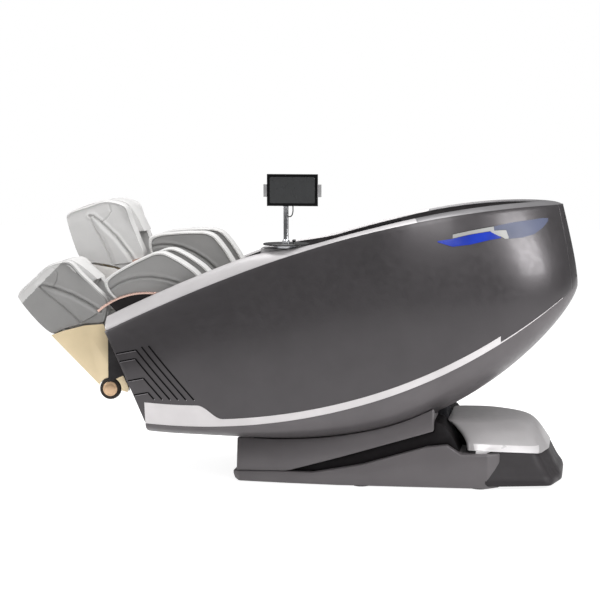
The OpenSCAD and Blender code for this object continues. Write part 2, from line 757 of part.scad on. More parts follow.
bulkhead_xs = [-460, -150, 60];
bulkhead_tops = [330, 330, 408];
console_low_z = console_z - 72;
module frame_side() {
  difference() {
    union() {
      translate([knee_x, knee_z]) circle(r = 34);
      polygon([[-672, 574], [-520, 600], [-60, 610], [20, 570], [63, 480], [63, 330], [-150, 296],
               [-470, 290], [-600, 420], [-702, 530]]);
    }
    translate([knee_x, knee_z]) circle(r = knee_r - 0.01);
  }
}
module pod_frame() {
  color("#4a4a50") {
    mirror_copy() side_plate(frame_in, frame_out) frame_side();
    y_tube(knee_x, knee_z, knee_r, -frame_out, frame_out);
    side_plate(-frame_out, -frame_in)
      polygon([[mast_x - 50, 590], [mast_x - 50, console_low_z],
               [mast_x + 70, console_low_z], [mast_x + 70, 590]]);
    for (k = [0:2]) bulkhead(bulkhead_xs[k], bulkhead_tops[k], frame_in);
    bulkhead(384, on_back(547, -back_frame_depth)[1] - 1, 124);
  }
}

// The pan under the seat cushion, a bent sheet between the side plates.
seat_front_x = -556;
seat_rear_x = -170;
seat_front_z = 606;
seat_rear_z = 470;
seat_under = [[seat_front_x, seat_front_z - seat_t], [-420, 544 - seat_t], [-300, 480 - seat_t],
              [seat_rear_x - 6, seat_rear_z - seat_t]];
pan_t = 4;
module seat_pan() {
  color("#55555c")
    side_plate(-frame_in, frame_in)
      polygon([for (p = seat_under) [p[0], p[1] - fit_gap],
               for (k = [len(seat_under) - 1:-1:0]) [seat_under[k][0], seat_under[k][1] - fit_gap - pan_t]]);
}

back_frame_y = 118;
back_frame_t = 6;
back_frame_depth = 150;
// Each plate ends in an ear past the back cushion's end, which holds the head pillow's rod.
pillow_axis = back_len + 12;
pillow_rod_r = 5;
ear_r = 9;
module back_frame() {
  ear_from = back_len + 2.3;
  color("#4a4a50")
    mirror_copy()
      side_plate(back_frame_y, back_frame_y + back_frame_t)
        difference() {
          union() {
            polygon([for (p = [[30, -back_t - fit_gap], [ear_from + 8, -back_t - fit_gap],
                               [back_len - 6, -back_frame_depth + 60],
                               [back_len - 6, -back_frame_depth + 40],
                               [back_len - 90, -back_frame_depth], [30, -back_frame_depth]])
                       on_back(p[0], p[1])]);
            polygon([for (p = [[ear_from, -back_t - 10], [ear_from, 4], [ear_from + 5, ear_r],
                               [pillow_axis + 4, ear_r], [pillow_axis + ear_r, 4],
                               [pillow_axis + ear_r, -back_t + 10]]) on_back(p[0], p[1])]);
          }
          translate(on_back(pillow_axis, 0)) circle(r = pillow_rod_r + pin_play);
        }
}

// ---------------------------------------------------------------- seat and back
seat_top = [[-440, 584], [-320, 520], [-240, 484]];
module seat_cushion() {
  color("#c6c4c1")
    pad_block([seat_under[0], [seat_front_x - 6, seat_front_z - 40], [seat_front_x + 8, seat_front_z - 10],
               [seat_front_x + 36, seat_front_z], each seat_top, [seat_rear_x, seat_rear_z],
               [seat_rear_x + 8, seat_rear_z - seat_t / 2], seat_under[3], seat_under[2], seat_under[1]],
              0, seat_half_w, 26, 8);
}

side_clear = 14;
function back_half_w(a) =
  min(seat_half_w, wall_y(on_back(a, -back_t)[0], 1, liner_inset + liner_t) - side_clear);
back_rows = 10;
back_cols = 8;
back_start = 34;
back_crown = 14;
back_edge_drop = 16;
module back_cushion() {
  function along(i) = mix(back_start, back_len, i / back_rows);
  function pt(i, j, out) =
    let (p = on_back(along(i), out))
    [p[0], back_half_w(along(i)) * (2 * j / back_cols - 1), p[1]];
  function crown(i, j) =
    let (u = 2 * i / back_rows - 1, k = 2 * j / back_cols - 1)
    back_crown * sqrt(max(0, (1 - pow(u, 6)) * (1 - pow(k, 4))));
  color("#c6c4c1")
    slab([for (i = [0:back_rows]) [for (j = [0:back_cols]) pt(i, j, -back_t)]],
         [for (i = [0:back_rows]) [for (j = [0:back_cols]) pt(i, j, crown(i, j) - back_edge_drop)]]);
}

pillow_from = 470;
pillow_low = back_crown - back_edge_drop + 0.4;
pillow_outline = [[0, pillow_low], [-8, 18], [14, 36], [60, 46], [110, 40], [150, 20], [156, 2],
                  [150, pillow_low]];
module head_pillow() {
  hinge_at = on_back(pillow_axis, 0);
  rod_half = back_frame_y + back_frame_t + 2;
  color("#d2d0cd") {
    pad_block([for (p = pillow_outline) on_back(pillow_from + p[0], p[1])], 0, 104, 22, 8);
    side_plate(-92, 92)
      hull() {
        translate(hinge_at) circle(r = pillow_rod_r);
        polygon([for (p = [[600, pillow_low], [600, 6], [606, 6], [606, pillow_low]]) on_back(p[0], p[1])]);
      }
    y_tube(hinge_at[0], hinge_at[1], pillow_rod_r, -rod_half, rod_half);
  }
}

arm_half = 31;
arm_outline = [[-520, 560], [-528, 600], [-500, 660], [-440, 700], [-240, 730], [-60, 752], [4, 744],
               [16, 700], [-20, 610], [-200, 560]];
module arm_pads() {
  color("#b9b7b4")
    mirror_copy() pad_block(arm_outline, fit_gap + arm_half - frame_in, arm_half, 30, 6);
}

// ---------------------------------------------------------------- massage mechanism
rail_from = 60;
rail_to = 600;
rail_end_t = 12;
carriage_at = 250;
carriage_len = 110;
roller_axis = 26;
roller_mid_y = 62;
roller_w = 18;
module along_back() {
  translate([back_foot[0], 0, back_foot[1]]) rotate([0, -back_angle, 0]) children();
}
module along_tube(x, y, z, r, len) {
  translate([x, y, z]) rotate([0, 90, 0]) cylinder(r = r, h = len);
}
module massage_rails() {
  color("#a8a8ac")
    along_back() {
      for (s = [-1, 1]) along_tube(rail_from, s * rail_half_gap, -rail_depth, rail_r, rail_to - rail_from);
      for (a = [rail_from, rail_to - rail_end_t])
        difference() {
          translate([a, -back_frame_y, -rail_depth - 14]) cube([rail_end_t, 2 * back_frame_y, 28]);
          for (s = [-1, 1]) along_tube(a - 1, s * rail_half_gap, -rail_depth, rail_r - 0.01, rail_end_t + 2);
        }
    }
}
module massage_carriage() {
  color("#55555c")
    along_back()
      difference() {
        union() {
          translate([carriage_at, -(rail_half_gap + 20), -rail_depth - 18])
            cube([carriage_len, 2 * (rail_half_gap + 20), 30]);
          for (s = [-1, 1])
            translate([carriage_at + carriage_len / 2 - 14, s * 78 - 4, -rail_depth + 11]) cube([28, 8, 27]);
        }
        for (s = [-1, 1]) {
          along_tube(carriage_at - 1, s * rail_half_gap, -rail_depth, rail_r + pin_play, carriage_len + 2);
          translate([carriage_at + carriage_len / 2, s * 78 - 5, -rail_depth + roller_axis])
            rotate([-90, 0, 0]) cylinder(r = 5 + pin_play, h = 10);
          translate([carriage_at + carriage_len / 2 - 30, s * roller_mid_y - 12, -rail_depth - 3])
            cube([60, 24, 20]);
        }
      }
}
module knead_rollers() {
  color("#d8d4c8")
    along_back()
      translate([carriage_at + carriage_len / 2, 0, -rail_depth + roller_axis])
        rotate([-90, 0, 0]) {
          translate([0, 0, -86]) cylinder(r = 5, h = 172);
          for (s = [-1, 1])
            translate([0, 0, s * roller_mid_y - roller_w / 2]) cylinder(r = knead_r - 2, h = roller_w);
        }
}

// ---------------------------------------------------------------- console and tablet
disc_z = console_z + 11;
disc_t = 6;
disc_hub_r = 14;
mast_foot_z = console_z - 20;
module console() {
  outer = wall_y(mast_x, 1, liner_inset + liner_t) - fit_gap;
  color("#9c9a9b")
    difference() {
      translate([0, 0, console_low_z])
        linear_extrude(console_z - console_low_z)
          hull() {
            for (p = [[mast_x - 74, 16 - outer], [mast_x - 76, mast_y + 58],
                      [mast_x + 110, mast_y + 58], [mast_x + 108, 16 - outer]])
              translate(p) circle(r = 14);
          }
      translate([mast_x, mast_y, mast_foot_z - fit_gap]) cylinder(r = mast_r + pin_play, h = 40);
    }
}
module console_disc() {
  color("#2c2a2c")
    translate([mast_x, mast_y, 0])
      difference() {
        union() {
          translate([0, 0, disc_z]) cylinder(r = disc_r, h = disc_t);
          translate([0, 0, console_z]) cylinder(r = disc_hub_r, h = disc_z - console_z + 1);
        }
        translate([0, 0, console_z - 1]) cylinder(r = mast_r + pin_play, h = 40);
        translate([28, 6, disc_z + 1.2]) cylinder(r = 4 + pin_play, h = disc_t + 2);
      }
}
knurls = 36;
module dial_ring() {
  color("#d0d0d4")
    translate([mast_x, mast_y, console_z + fit_gap])
      difference() {
        cylinder(r = dial_r, h = disc_z - console_z - 2 * fit_gap);
        translate([0, 0, -1]) cylinder(r = disc_hub_r + pin_play, h = 20);
        for (k = [0:knurls - 1])
          rotate(k * 360 / knurls) translate([dial_r, 0, -1]) cylinder(r = 1.4, h = 20, $fn = 16);
      }
}
module joystick() {
  color("#101010")
    translate([mast_x + 28, mast_y + 6, disc_z]) {
      translate([0, 0, 2.6]) cylinder(r = 4, h = disc_t + 4);
      translate([0, 0, disc_t + 8]) scale([1, 1, 0.8]) sphere(r = 7);
    }
}
mast_top_z = tablet_z - 34;
collar_h = 14;
// The mast is a tube with a slipped-on collar that covers its hole in the disc.
module mast() {
  color("#c9cacd") {
    translate([mast_x, mast_y, mast_foot_z]) cylinder(r = mast_r, h = mast_top_z - mast_foot_z);
    translate([mast_x, mast_y, disc_z + disc_t + fit_gap])
      difference() {
        cylinder(r1 = mast_r + 9, r2 = mast_r + 3, h = collar_h);
        translate([0, 0, -1]) cylinder(r = mast_r + pin_play, h = collar_h + 2);
      }
  }
}
tilt_y = -4;
head_half_w = 14;
module swivel_head() {
  color("#8f9092")
    translate([mast_x, mast_y, 0])
      difference() {
        union() {
          translate([0, 0, mast_top_z - 24]) cylinder(r = 12, h = 24 + 8);
          translate([-head_half_w, -12, tablet_z - 28]) cube([2 * head_half_w, 18, 44]);
        }
        translate([0, 0, mast_top_z - 25]) cylinder(r = mast_r + pin_play, h = 25 + fit_gap);
        translate([-20, tilt_y, tablet_z]) rotate([0, 90, 0]) cylinder(r = 4 + pin_play, h = 40);
      }
}
tablet_x = mast_x + 27;
tablet_y = mast_y - 28;
clamp_w = 12;
module tablet() {
  color("#202022") {
    translate([tablet_x - tablet_w / 2, tablet_y - tablet_t / 2, tablet_z - tablet_h / 2])
      cube([tablet_w, tablet_t, tablet_h]);
    for (s = [-1, 1]) {
      translate([tablet_x + s * (tablet_w + clamp_w) / 2 - clamp_w / 2, tablet_y - tablet_t / 2 - 2,
                 tablet_z - 24])
        cube([clamp_w, tablet_t + 4, 44]);
      translate([mast_x + s * (head_half_w + 6) - 5, tablet_y + tablet_t / 2 - 1, tablet_z - 8])
        cube([10, mast_y - tablet_y - tablet_t / 2 + 4, 16]);
    }
    translate([mast_x - head_half_w - 11, mast_y + tilt_y, tablet_z])
      rotate([0, 90, 0]) cylinder(r = 4, h = 2 * head_half_w + 22);
  }
}
screen_t = 0.8;
screen_edge = 10;
module tablet_screen() {
  color("#3a3c40")
    translate([tablet_x - tablet_w / 2 + screen_edge, tablet_y - tablet_t / 2 - screen_t,
               tablet_z - tablet_h / 2 + screen_edge])
      cube([tablet_w - 2 * screen_edge, screen_t, tablet_h - 2 * screen_edge]);
}

// The cable hangs in a short loop from under the tablet's lower edge to the side of the mast.
cable_r = 2;
cable_sides = 8;
cable_route = [[-361, -313, 991.7], [-361, -313, 984], [-361, -311, 976], [-363, -307, 966],
               [-367, -300, 958], [-372, -293, 954], [-377, -287, 953], [-380.7, -285, 953]];
module sweep(route, r, sides) {
  last = len(route) - 1;
  function dir(i) = let (d = route[min(i + 1, last)] - route[max(i - 1, 0)]) d / norm(d);
  function ring(i) =
    let (d = dir(i), side = cross(d, [0.2, 1, 0.3]), u = side / norm(side), w = cross(d, u))
    [for (k = [0:sides - 1]) route[i] + r * (u * cos(360 * k / sides) + w * sin(360 * k / sides))];
  points = [for (i = [0:last]) each ring(i)];
  faces = [
    for (i = [0:last - 1]) for (k = [0:sides - 1])
      let (n = (k + 1) % sides)
      each [[i * sides + k, (i + 1) * sides + n, i * sides + n],
            [i * sides + k, (i + 1) * sides + k, (i + 1) * sides + n]],
    [for (k = [0:sides - 1]) k],
    [for (k = [sides - 1:-1:0]) last * sides + k]
  ];
  polyhedron(points, faces, convexity = 4);
}
module tablet_cable() {
  color("#161616") sweep(cable_route, cable_r, cable_sides);
}

// ---------------------------------------------------------------- leg rests
// A leg rest is drawn about the knee axis: X towards the knee end, Z towards the toes.
side_y = leg_w / 2;
plate_out = side_y - foot_shell_t - 2;
plate_in = plate_out - leg_plate_t;
soft_out = plate_in - fit_gap;
soft_wall = (soft_out - channel_half_w) / 2;
arc_mid = [-251, 64.5];
arc_w = 9;
wheel_at = [-403, 103];
sole_x = -421;
tray_z = 88;
tray_t = 6;

module on_leg(drop, side) {
  translate([knee_x, side * leg_y, knee_z]) rotate([0, -drop, 0]) children();
}

module leg_plate_2d() {
  difference() {
    union() {
      intersection() {
        translate(arc_mid) circle(r = arc_r - arc_w, $fn = 96);
        polygon([[-190, 20], [-190, 340], [40, 400], [40, 20], [-60, -20], [-186, 30]]);
      }
      hull() {
        circle(r = 34);
        translate([-90, 60]) circle(r = 60);
      }
    }
    circle(r = knee_r + pin_play);
  }
}

slide_y = 100;
slide_z = 72;
slide_r = 8;
slide_len = 336;
slide_from = -346;
sleeve_x = -184;
sleeve_len = 76;
module leg_frame() {
  color("#201d1e") {
    mirror_copy() side_plate(plate_in, plate_out) leg_plate_2d();
    difference() {
      union() {
        y_tube(0, 0, 24, -plate_in - 0.01, plate_in + 0.01);
        side_plate(-plate_in - 0.01, plate_in + 0.01) translate([-186, tray_z]) square([290, tray_t]);
        mirror_copy()
          translate([sleeve_x, slide_y - 14, slide_z - 14]) cube([sleeve_len, 28, tray_z - slide_z + 15]);
      }
      y_tube(0, 0, knee_r + pin_play, -plate_in - 1, plate_in + 1);
      mirror_copy() along_tube(sleeve_x - 1, slide_y, slide_z, slide_r + pin_play, sleeve_len + 2);
    }
  }
}

arc_from = 25;
arc_turn = 62;
module arc_trim() {
  color("#e1beaf")
    mirror_copy()
      translate([arc_mid[0], plate_out + 1.5, arc_mid[1]])
        rotate([90, 0, 0])
          rotate(arc_from)
            rotate_extrude(angle = arc_turn, $fn = 96)
              translate([arc_r - arc_w + 0.05, 0]) square([arc_w, leg_plate_t]);
}

calf_outline = [[-160, 0], [-168, 104], [-168, 204], [-164, 276], [-150, 298], [-120, 300], [-40, 280],
                [30, 256], [62, 242], [84, 222], [100, 184], [114, 130], [120, 84], [114, 24], [100, 0]];
bed_outline = [[-156, 0], [-160, 24], [-140, 44], [0, 52], [90, 44], [104, 24], [98, 0]];
module calf_pads() {
  bed_z = tray_z + tray_t + fit_gap;
  color("#c9c8c4") {
    mirror_copy()
      pad_block([for (p = calf_outline) p + [0, bed_z]], channel_half_w + soft_wall, soft_wall, 14, 6);
    pad_block([for (p = bed_outline) p + [0, bed_z]], 0, channel_half_w - 0.4, 10, 6);
  }
}

boot_outline = [[-420, 392], [-421, 566], [-416, 578], [-398, 586], [-330, 584], [-266, 581], [-232, 569],
                [-204, 550], [-188, 530], [-188, 470], [-186, 400], [-190, 330], [-240, 290],
                [-252, 287], [-309, 333], [-381, 375]];
core_outline = [[-384, 210], [-384, 392], [-419, 396], [-420, 566], [-398, 585], [-266, 580], [-232, 568],
                [-190, 532], [-190, 236], [-256, 209], [-290, 205]];
foot_hollow = [[-376, 232], [-376, 516], [-362, 536], [-318, 538], [-290, 500], [-272, 440], [-240, 424],
               [-170, 420], [-170, 246], [-262, 222], [-290, 216], [-360, 216]];
module boot() {
  color("#cfcdca") {
    mirror_copy() pad_block(boot_outline, channel_half_w + soft_wall, soft_wall, 12, 6);
    side_plate(0.4 - channel_half_w, channel_half_w - 0.4)
      difference() {
        polygon(core_outline);
        polygon(foot_hollow);
      }
  }
}

shell_line = [[sole_x, 390], [-381, 372], [-309, 330], [-254, 284], [-311, 176], [-334, 106], [-352, 58],
              [-366, 50], [sole_x, 140]];
arch_r = wheel_r + 3;
axle_plate_y = 100;
roller_at = [-400, 285];
roller_plate_y = 66;
module foot_shell() {
  color("#dec8a5") {
    mirror_copy()
      side_plate(side_y - foot_shell_t, side_y)
        difference() {
          polygon(shell_line);
          translate(wheel_at) circle(r = arch_r);
        }
    difference() {
      side_plate(-side_y + foot_shell_t - 0.01, side_y - foot_shell_t + 0.01)
        polygon([[sole_x, 390], [sole_x, 160], [-362, 58], [-352, 58], [-334, 106], [-311, 176],
                 [-292, 204], [-298, 204], [-316, 178], [-339, 108], [-354, 66], [-359, 64],
                 [-416, 163], [-416, 388]]);
      mirror_copy() {
        y_tube(wheel_at[0], wheel_at[1], arch_r, side_y - wheel_w - 4, side_y + 1);
        along_tube(slide_from, slide_y, slide_z, slide_r - 0.01, 30);
      }
    }
    mirror_copy() {
      side_plate(axle_plate_y, axle_plate_y + 8)
        difference() {
          polygon([[-416, 146], [-416, 92], [-398, 86], [-366, 51], [-352, 64], [-341, 104], [-370, 150],
                   [-414, 190]]);
          translate(wheel_at) circle(r = axle_r + pin_play);
        }
      side_plate(roller_plate_y, roller_plate_y + 4)
        difference() {
          polygon([[-417, 216], [-417, 354], [-387, 354], [-387, 216]]);
          translate(roller_at) circle(r = 5 + pin_play);
        }
    }
  }
}

// Slide bars run from the foot shell's rear wall through the sleeves under the calf tray.
module foot_slides() {
  color("#b8b8bc")
    mirror_copy() along_tube(slide_from, slide_y, slide_z, slide_r, slide_len);
}

module foot_rollers() {
  color("#d8d4c8") {
    y_tube(roller_at[0], roller_at[1], 5, -roller_plate_y - 5, roller_plate_y + 5);
    for (y = [-42, 0, 42]) y_tube(roller_at[0], roller_at[1], roller_r, y - 12, y + 12);
  }
}

wheel_w = 24;
wheel_proud = 2;
module wheels() {
  color("#2a2622") {
    mirror_copy()
      difference() {
        y_tube(wheel_at[0], wheel_at[1], wheel_r, side_y - wheel_w + wheel_proud, side_y + wheel_proud);
        y_tube(wheel_at[0], wheel_at[1], wheel_r - 11, side_y - 3, side_y + wheel_proud + 1);
      }
    y_tube(wheel_at[0], wheel_at[1], axle_r, -side_y + 2, side_y - 2);
  }
}

// ---------------------------------------------------------------- drawing
base_frame();
base_feet();
base_plinth();
base_cradle();
base_core();
base_cover();
base_trim();
power_inlet();
hinge_pin();
recline_motor();
recline_rod();
pod_lugs();
pod_frame();
seat_pan();
back_frame();
belly_pan();
side_shell();  // side_shell_left
mirror([0, 1, 0]) side_shell();  // side_shell_right
rear_panel();
bottom_strips();
vent_lines();
blue_lamps();
lamp_lenses();
rim_band();  // rim_band_left
mirror([0, 1, 0]) rim_band();  // rim_band_right
rim_rear();
liners();
bow_caps();
seat_cushion();
back_cushion();
head_pillow();
arm_pads();
massage_rails();
massage_carriage();
knead_rollers();
console();
console_disc();
dial_ring();
joystick();
mast();
swivel_head();
tablet();
tablet_screen();
tablet_cable();
on_leg(leg_drop_left, -1) leg_frame();  // leg_frame_left
on_leg(leg_drop_right, 1) leg_frame();  // leg_frame_right
on_leg(leg_drop_left, -1) arc_trim();  // arc_trim_left
on_leg(leg_drop_right, 1) arc_trim();  // arc_trim_right
on_leg(leg_drop_left, -1) calf_pads();  // calf_pads_left
on_leg(leg_drop_right, 1) calf_pads();  // calf_pads_right
on_leg(leg_drop_left, -1) boot();  // boot_left
on_leg(leg_drop_right, 1) boot();  // boot_right
on_leg(leg_drop_left, -1) foot_shell();  // foot_shell_left
on_leg(leg_drop_right, 1) foot_shell();  // foot_shell_right
on_leg(leg_drop_left, -1) foot_slides();  // foot_slides_left
on_leg(leg_drop_right, 1) foot_slides();  // foot_slides_right
on_leg(leg_drop_left, -1) foot_rollers();  // foot_rollers_left
on_leg(leg_drop_right, 1) foot_rollers();  // foot_rollers_right
on_leg(leg_drop_left, -1) wheels();  // wheels_left
on_leg(leg_drop_right, 1) wheels();  // wheels_right
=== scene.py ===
"""Looks of the lounge massage chair: a boat-shaped pod on a low base, with two leg rests.

Lengths are in metres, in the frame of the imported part: +X points to the head end, +Z up, and
the origin lies on the floor under the middle of the base.
"""

from __future__ import annotations

import json
import logging
import math
from dataclasses import dataclass
from enum import Enum
from typing import Callable, Iterable, Sequence

import bmesh
import bpy
import numpy as np
from mathutils import Matrix, Vector

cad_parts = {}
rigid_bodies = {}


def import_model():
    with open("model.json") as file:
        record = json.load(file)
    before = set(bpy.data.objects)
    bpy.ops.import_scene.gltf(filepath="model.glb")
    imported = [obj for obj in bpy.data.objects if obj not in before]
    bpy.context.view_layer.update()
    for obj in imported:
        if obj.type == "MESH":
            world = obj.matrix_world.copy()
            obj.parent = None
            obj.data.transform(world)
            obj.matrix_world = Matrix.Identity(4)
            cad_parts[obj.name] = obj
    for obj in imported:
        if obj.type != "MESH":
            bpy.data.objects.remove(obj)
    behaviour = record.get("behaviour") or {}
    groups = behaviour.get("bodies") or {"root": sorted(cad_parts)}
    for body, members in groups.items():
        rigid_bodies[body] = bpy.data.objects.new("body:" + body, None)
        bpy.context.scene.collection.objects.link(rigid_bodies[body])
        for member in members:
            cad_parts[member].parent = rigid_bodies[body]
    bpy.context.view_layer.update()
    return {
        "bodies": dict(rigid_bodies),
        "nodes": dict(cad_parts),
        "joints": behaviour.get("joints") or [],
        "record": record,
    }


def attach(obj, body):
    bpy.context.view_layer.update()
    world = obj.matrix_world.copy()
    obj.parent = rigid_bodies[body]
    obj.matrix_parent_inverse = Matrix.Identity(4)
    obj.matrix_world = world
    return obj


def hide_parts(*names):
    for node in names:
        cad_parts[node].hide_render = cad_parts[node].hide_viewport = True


LOG = logging.getLogger("chair")
MM = 0.001
COAT_ROUGHNESS = 0.12
STUFFING_PRESSURE = 4.0
SWELL_FRAMES = 20
CLOTH = {
    "quality": 4, "mass": 0.4, "tension_stiffness": 12, "compression_stiffness": 12,
    "shear_stiffness": 6, "bending_stiffness": 2, "use_pressure": True,
}
Colour = tuple[int, int, int]
Point = tuple[float, float, float]
Outline = Sequence[tuple[float, float]]
Rows = Sequence[tuple[float, float, float]]
Cells = tuple[int, int, int]
Quads = list[tuple[int, ...]]
Edges = list[tuple[int, int]]


# ------------------------------------------------------------------ finishes
def linear(colour: Colour) -> tuple[float, float, float, float]:
    """Turns a screen colour into the linear colour that shaders take.

    Args:
        colour: red, green and blue from 0 to 255.

    Returns:
        Linear red, green, blue and an alpha of 1.
    """
    parts = [
        c / 255 / 12.92 if c <= 10 else ((c / 255 + 0.055) / 1.055) ** 2.4
        for c in colour
    ]
    return (parts[0], parts[1], parts[2], 1.0)


class Surface(Enum):
    """What a finish is made of, which settles its grain and relief."""

    PAINT = "sprayed paint"
    MOULDED = "moulded plastic"
    LEATHER = "grained leather"
    BRUSHED = "brushed metal"
    RUBBER = "rubber"
    GLASS = "dark glass"
    WOVEN = "woven lining"


class Tree:
    """Adds and links the nodes of one node tree."""

    def __init__(self, tree: bpy.types.NodeTree) -> None:
        """Works on a tree that is there already."""
        self.tree = tree

    def add(
        self, kind: str, values: dict[str | int, object] | None = None, **settings: object
    ) -> bpy.types.Node:
        """Adds one node.

        Args:
            kind: the node's type name.
            values: values of its input sockets, by name or number.
            settings: properties to set on the node.

        Returns:
            The new node.
        """
        node = self.tree.nodes.new(kind)
        for name, value in settings.items():
            setattr(node, name, value)
        for key, value in (values or {}).items():
            node.inputs[key].default_value = value
        return node

    def link(self, source: bpy.types.NodeSocket, target: bpy.types.NodeSocket) -> None:
        """Joins two sockets."""
        self.tree.links.new(source, target)

    def wire(self, *pairs: tuple[bpy.types.NodeSocket, bpy.types.NodeSocket]) -> None:
        """Joins several pairs of sockets, in order."""
        for source, target in pairs:
            self.link(source, target)


class Nodes(Tree):
    """The nodes of one material or world."""

    def __init__(self, owner: bpy.types.Material | bpy.types.World) -> None:
        """Starts from the owner's own empty tree."""
        owner.use_nodes = True
        super().__init__(owner.node_tree)
        self.tree.nodes.clear()

    def noise(
        self, place: bpy.types.NodeSocket, scale: float, detail: float = 3.0
    ) -> bpy.types.Node:
        """Adds a noise texture.

        Args:
            place: the coordinate socket.
            scale: repeats per metre.
            detail: octaves of the noise.

        Returns:
            The noise node.
        """
        node = self.add("ShaderNodeTexNoise", {"Scale": scale, "Detail": detail})
        self.link(place, node.inputs["Vector"])
        return node

    def spread(self, value: bpy.types.NodeSocket, low: float, high: float) -> bpy.types.NodeSocket:
        """Maps the middle of a noise to a range.

        Args:
            value: the noise value.
            low: result where the noise is 0.3.
            high: result where the noise is 0.7.

        Returns:
            The mapped value's socket.
        """
        span = {"From Min": 0.3, "From Max": 0.7, "To Min": low, "To Max": high}
        node = self.add("ShaderNodeMapRange", span)
        self.link(value, node.inputs["Value"])
        return node.outputs["Result"]

    def bump(
        self,
        height: bpy.types.NodeSocket,
        strength: float,
        distance: float,
        under: bpy.types.NodeSocket | None = None,
    ) -> bpy.types.NodeSocket:
        """Adds a bump.

        Args:
            height: the relief's height.
            strength: share of the relief that shows.
            distance: depth of the relief in metres.
            under: normal of a coarser bump below this one.

        Returns:
            The normal's socket.
        """
        node = self.add("ShaderNodeBump", {"Strength": strength, "Distance": distance})
        self.link(height, node.inputs["Height"])
        if under is not None:
            self.link(under, node.inputs["Normal"])
        return node.outputs["Normal"]


@dataclass(frozen=True)
class Finish:
    """One finish of the chair.

    The coat is a clear layer, the mottle the share by which the colour varies, the glow the
    strength of its own light and the shine the level of its mirror-like part.
    """

    name: str
    slot: str
    colour: Colour
    surface: Surface
    roughness: float
    metallic: float = 0.0
    coat: float = 0.0
    mottle: float = 0.06
    glow: float = 0.0
    shine: float = 0.5

    def material(self) -> bpy.types.Material:
        """Makes the finish's material, once.

        Returns:
            The material.
        """
        known = bpy.data.materials.get(self.name)
        if known is not None:
            return known
        material = bpy.data.materials.new(self.name)
        nodes = Nodes(material)
        place = nodes.add("ShaderNodeTexCoord").outputs["Object"]
        looks = {
            "Metallic": self.metallic, "Coat Weight": self.coat,
            "Coat Roughness": COAT_ROUGHNESS, "Specular IOR Level": self.shine,
        }
        shader = nodes.add("ShaderNodeBsdfPrincipled", looks)
        output = nodes.add("ShaderNodeOutputMaterial")
        nodes.link(shader.outputs["BSDF"], output.inputs["Surface"])
        self._tint(nodes, place, shader)
        self._relief(nodes, place, shader)
        return material

    def _tint(self, nodes: Nodes, place: bpy.types.NodeSocket, shader: bpy.types.Node) -> None:
        """Varies the colour and the roughness a little over the surface."""
        base = linear(self.colour)
        patches = nodes.noise(place, 9.0, 4.0)
        dark = [c * (1 - self.mottle) for c in base[:3]] + [1.0]
        light = [min(1.0, c * (1 + self.mottle)) for c in base[:3]] + [1.0]
        blend = nodes.add("ShaderNodeMix", {6: dark, 7: light}, data_type="RGBA")
        nodes.link(nodes.spread(patches.outputs["Fac"], 0.0, 1.0), blend.inputs[0])
        nodes.link(blend.outputs[2], shader.inputs["Base Color"])
        rubs = nodes.noise(place, 46.0, 5.0)
        rough = nodes.spread(
            rubs.outputs["Fac"], self.roughness * 0.88, min(1.0, self.roughness * 1.14)
        )
        nodes.link(rough, shader.inputs["Roughness"])
        if self.glow:
            nodes.link(blend.outputs[2], shader.inputs["Emission Color"])
            shader.inputs["Emission Strength"].default_value = self.glow

    def _relief(self, nodes: Nodes, place: bpy.types.NodeSocket, shader: bpy.types.Node) -> None:
        """Adds the grain of the finish's kind."""
        if self.surface is Surface.LEATHER:
            cells = nodes.add("ShaderNodeTexVoronoi", {"Scale": 620.0}, feature="DISTANCE_TO_EDGE")
            nodes.link(place, cells.inputs["Vector"])
            grain = nodes.bump(cells.outputs["Distance"], 0.5, 0.0004)
            creases = nodes.noise(place, 38.0, 5.0)
            normal = nodes.bump(creases.outputs["Fac"], 0.35, 0.0022, grain)
            shader.inputs["Sheen Weight"].default_value = 0.12
        elif self.surface is Surface.BRUSHED:
            stretch = nodes.add("ShaderNodeMapping", {"Scale": (1.0, 12.0, 12.0)})
            nodes.link(place, stretch.inputs["Vector"])
            lines = nodes.noise(stretch.outputs["Vector"], 240.0, 2.0)
            normal = nodes.bump(lines.outputs["Fac"], 0.18, 0.0003)
        elif self.surface is Surface.WOVEN:
            cloth = {"Scale": 420.0, "Randomness": 0.15}
            weave = nodes.add("ShaderNodeTexVoronoi", cloth, feature="F1")
            nodes.link(place, weave.inputs["Vector"])
            normal = nodes.bump(weave.outputs["Distance"], 0.6, 0.0006)
        elif self.surface is Surface.GLASS:
            ripple = nodes.noise(place, 6.0, 1.0)
            normal = nodes.bump(ripple.outputs["Fac"], 0.04, 0.0004)
        else:
            scale, depth = {
                Surface.PAINT: (160.0, 0.00002),
                Surface.MOULDED: (200.0, 0.00003),
                Surface.RUBBER: (340.0, 0.0004),
            }[self.surface]
            specks = nodes.noise(place, scale, 2.0)
            normal = nodes.bump(specks.outputs["Fac"], 0.35, depth)
        nodes.link(normal, shader.inputs["Normal"])


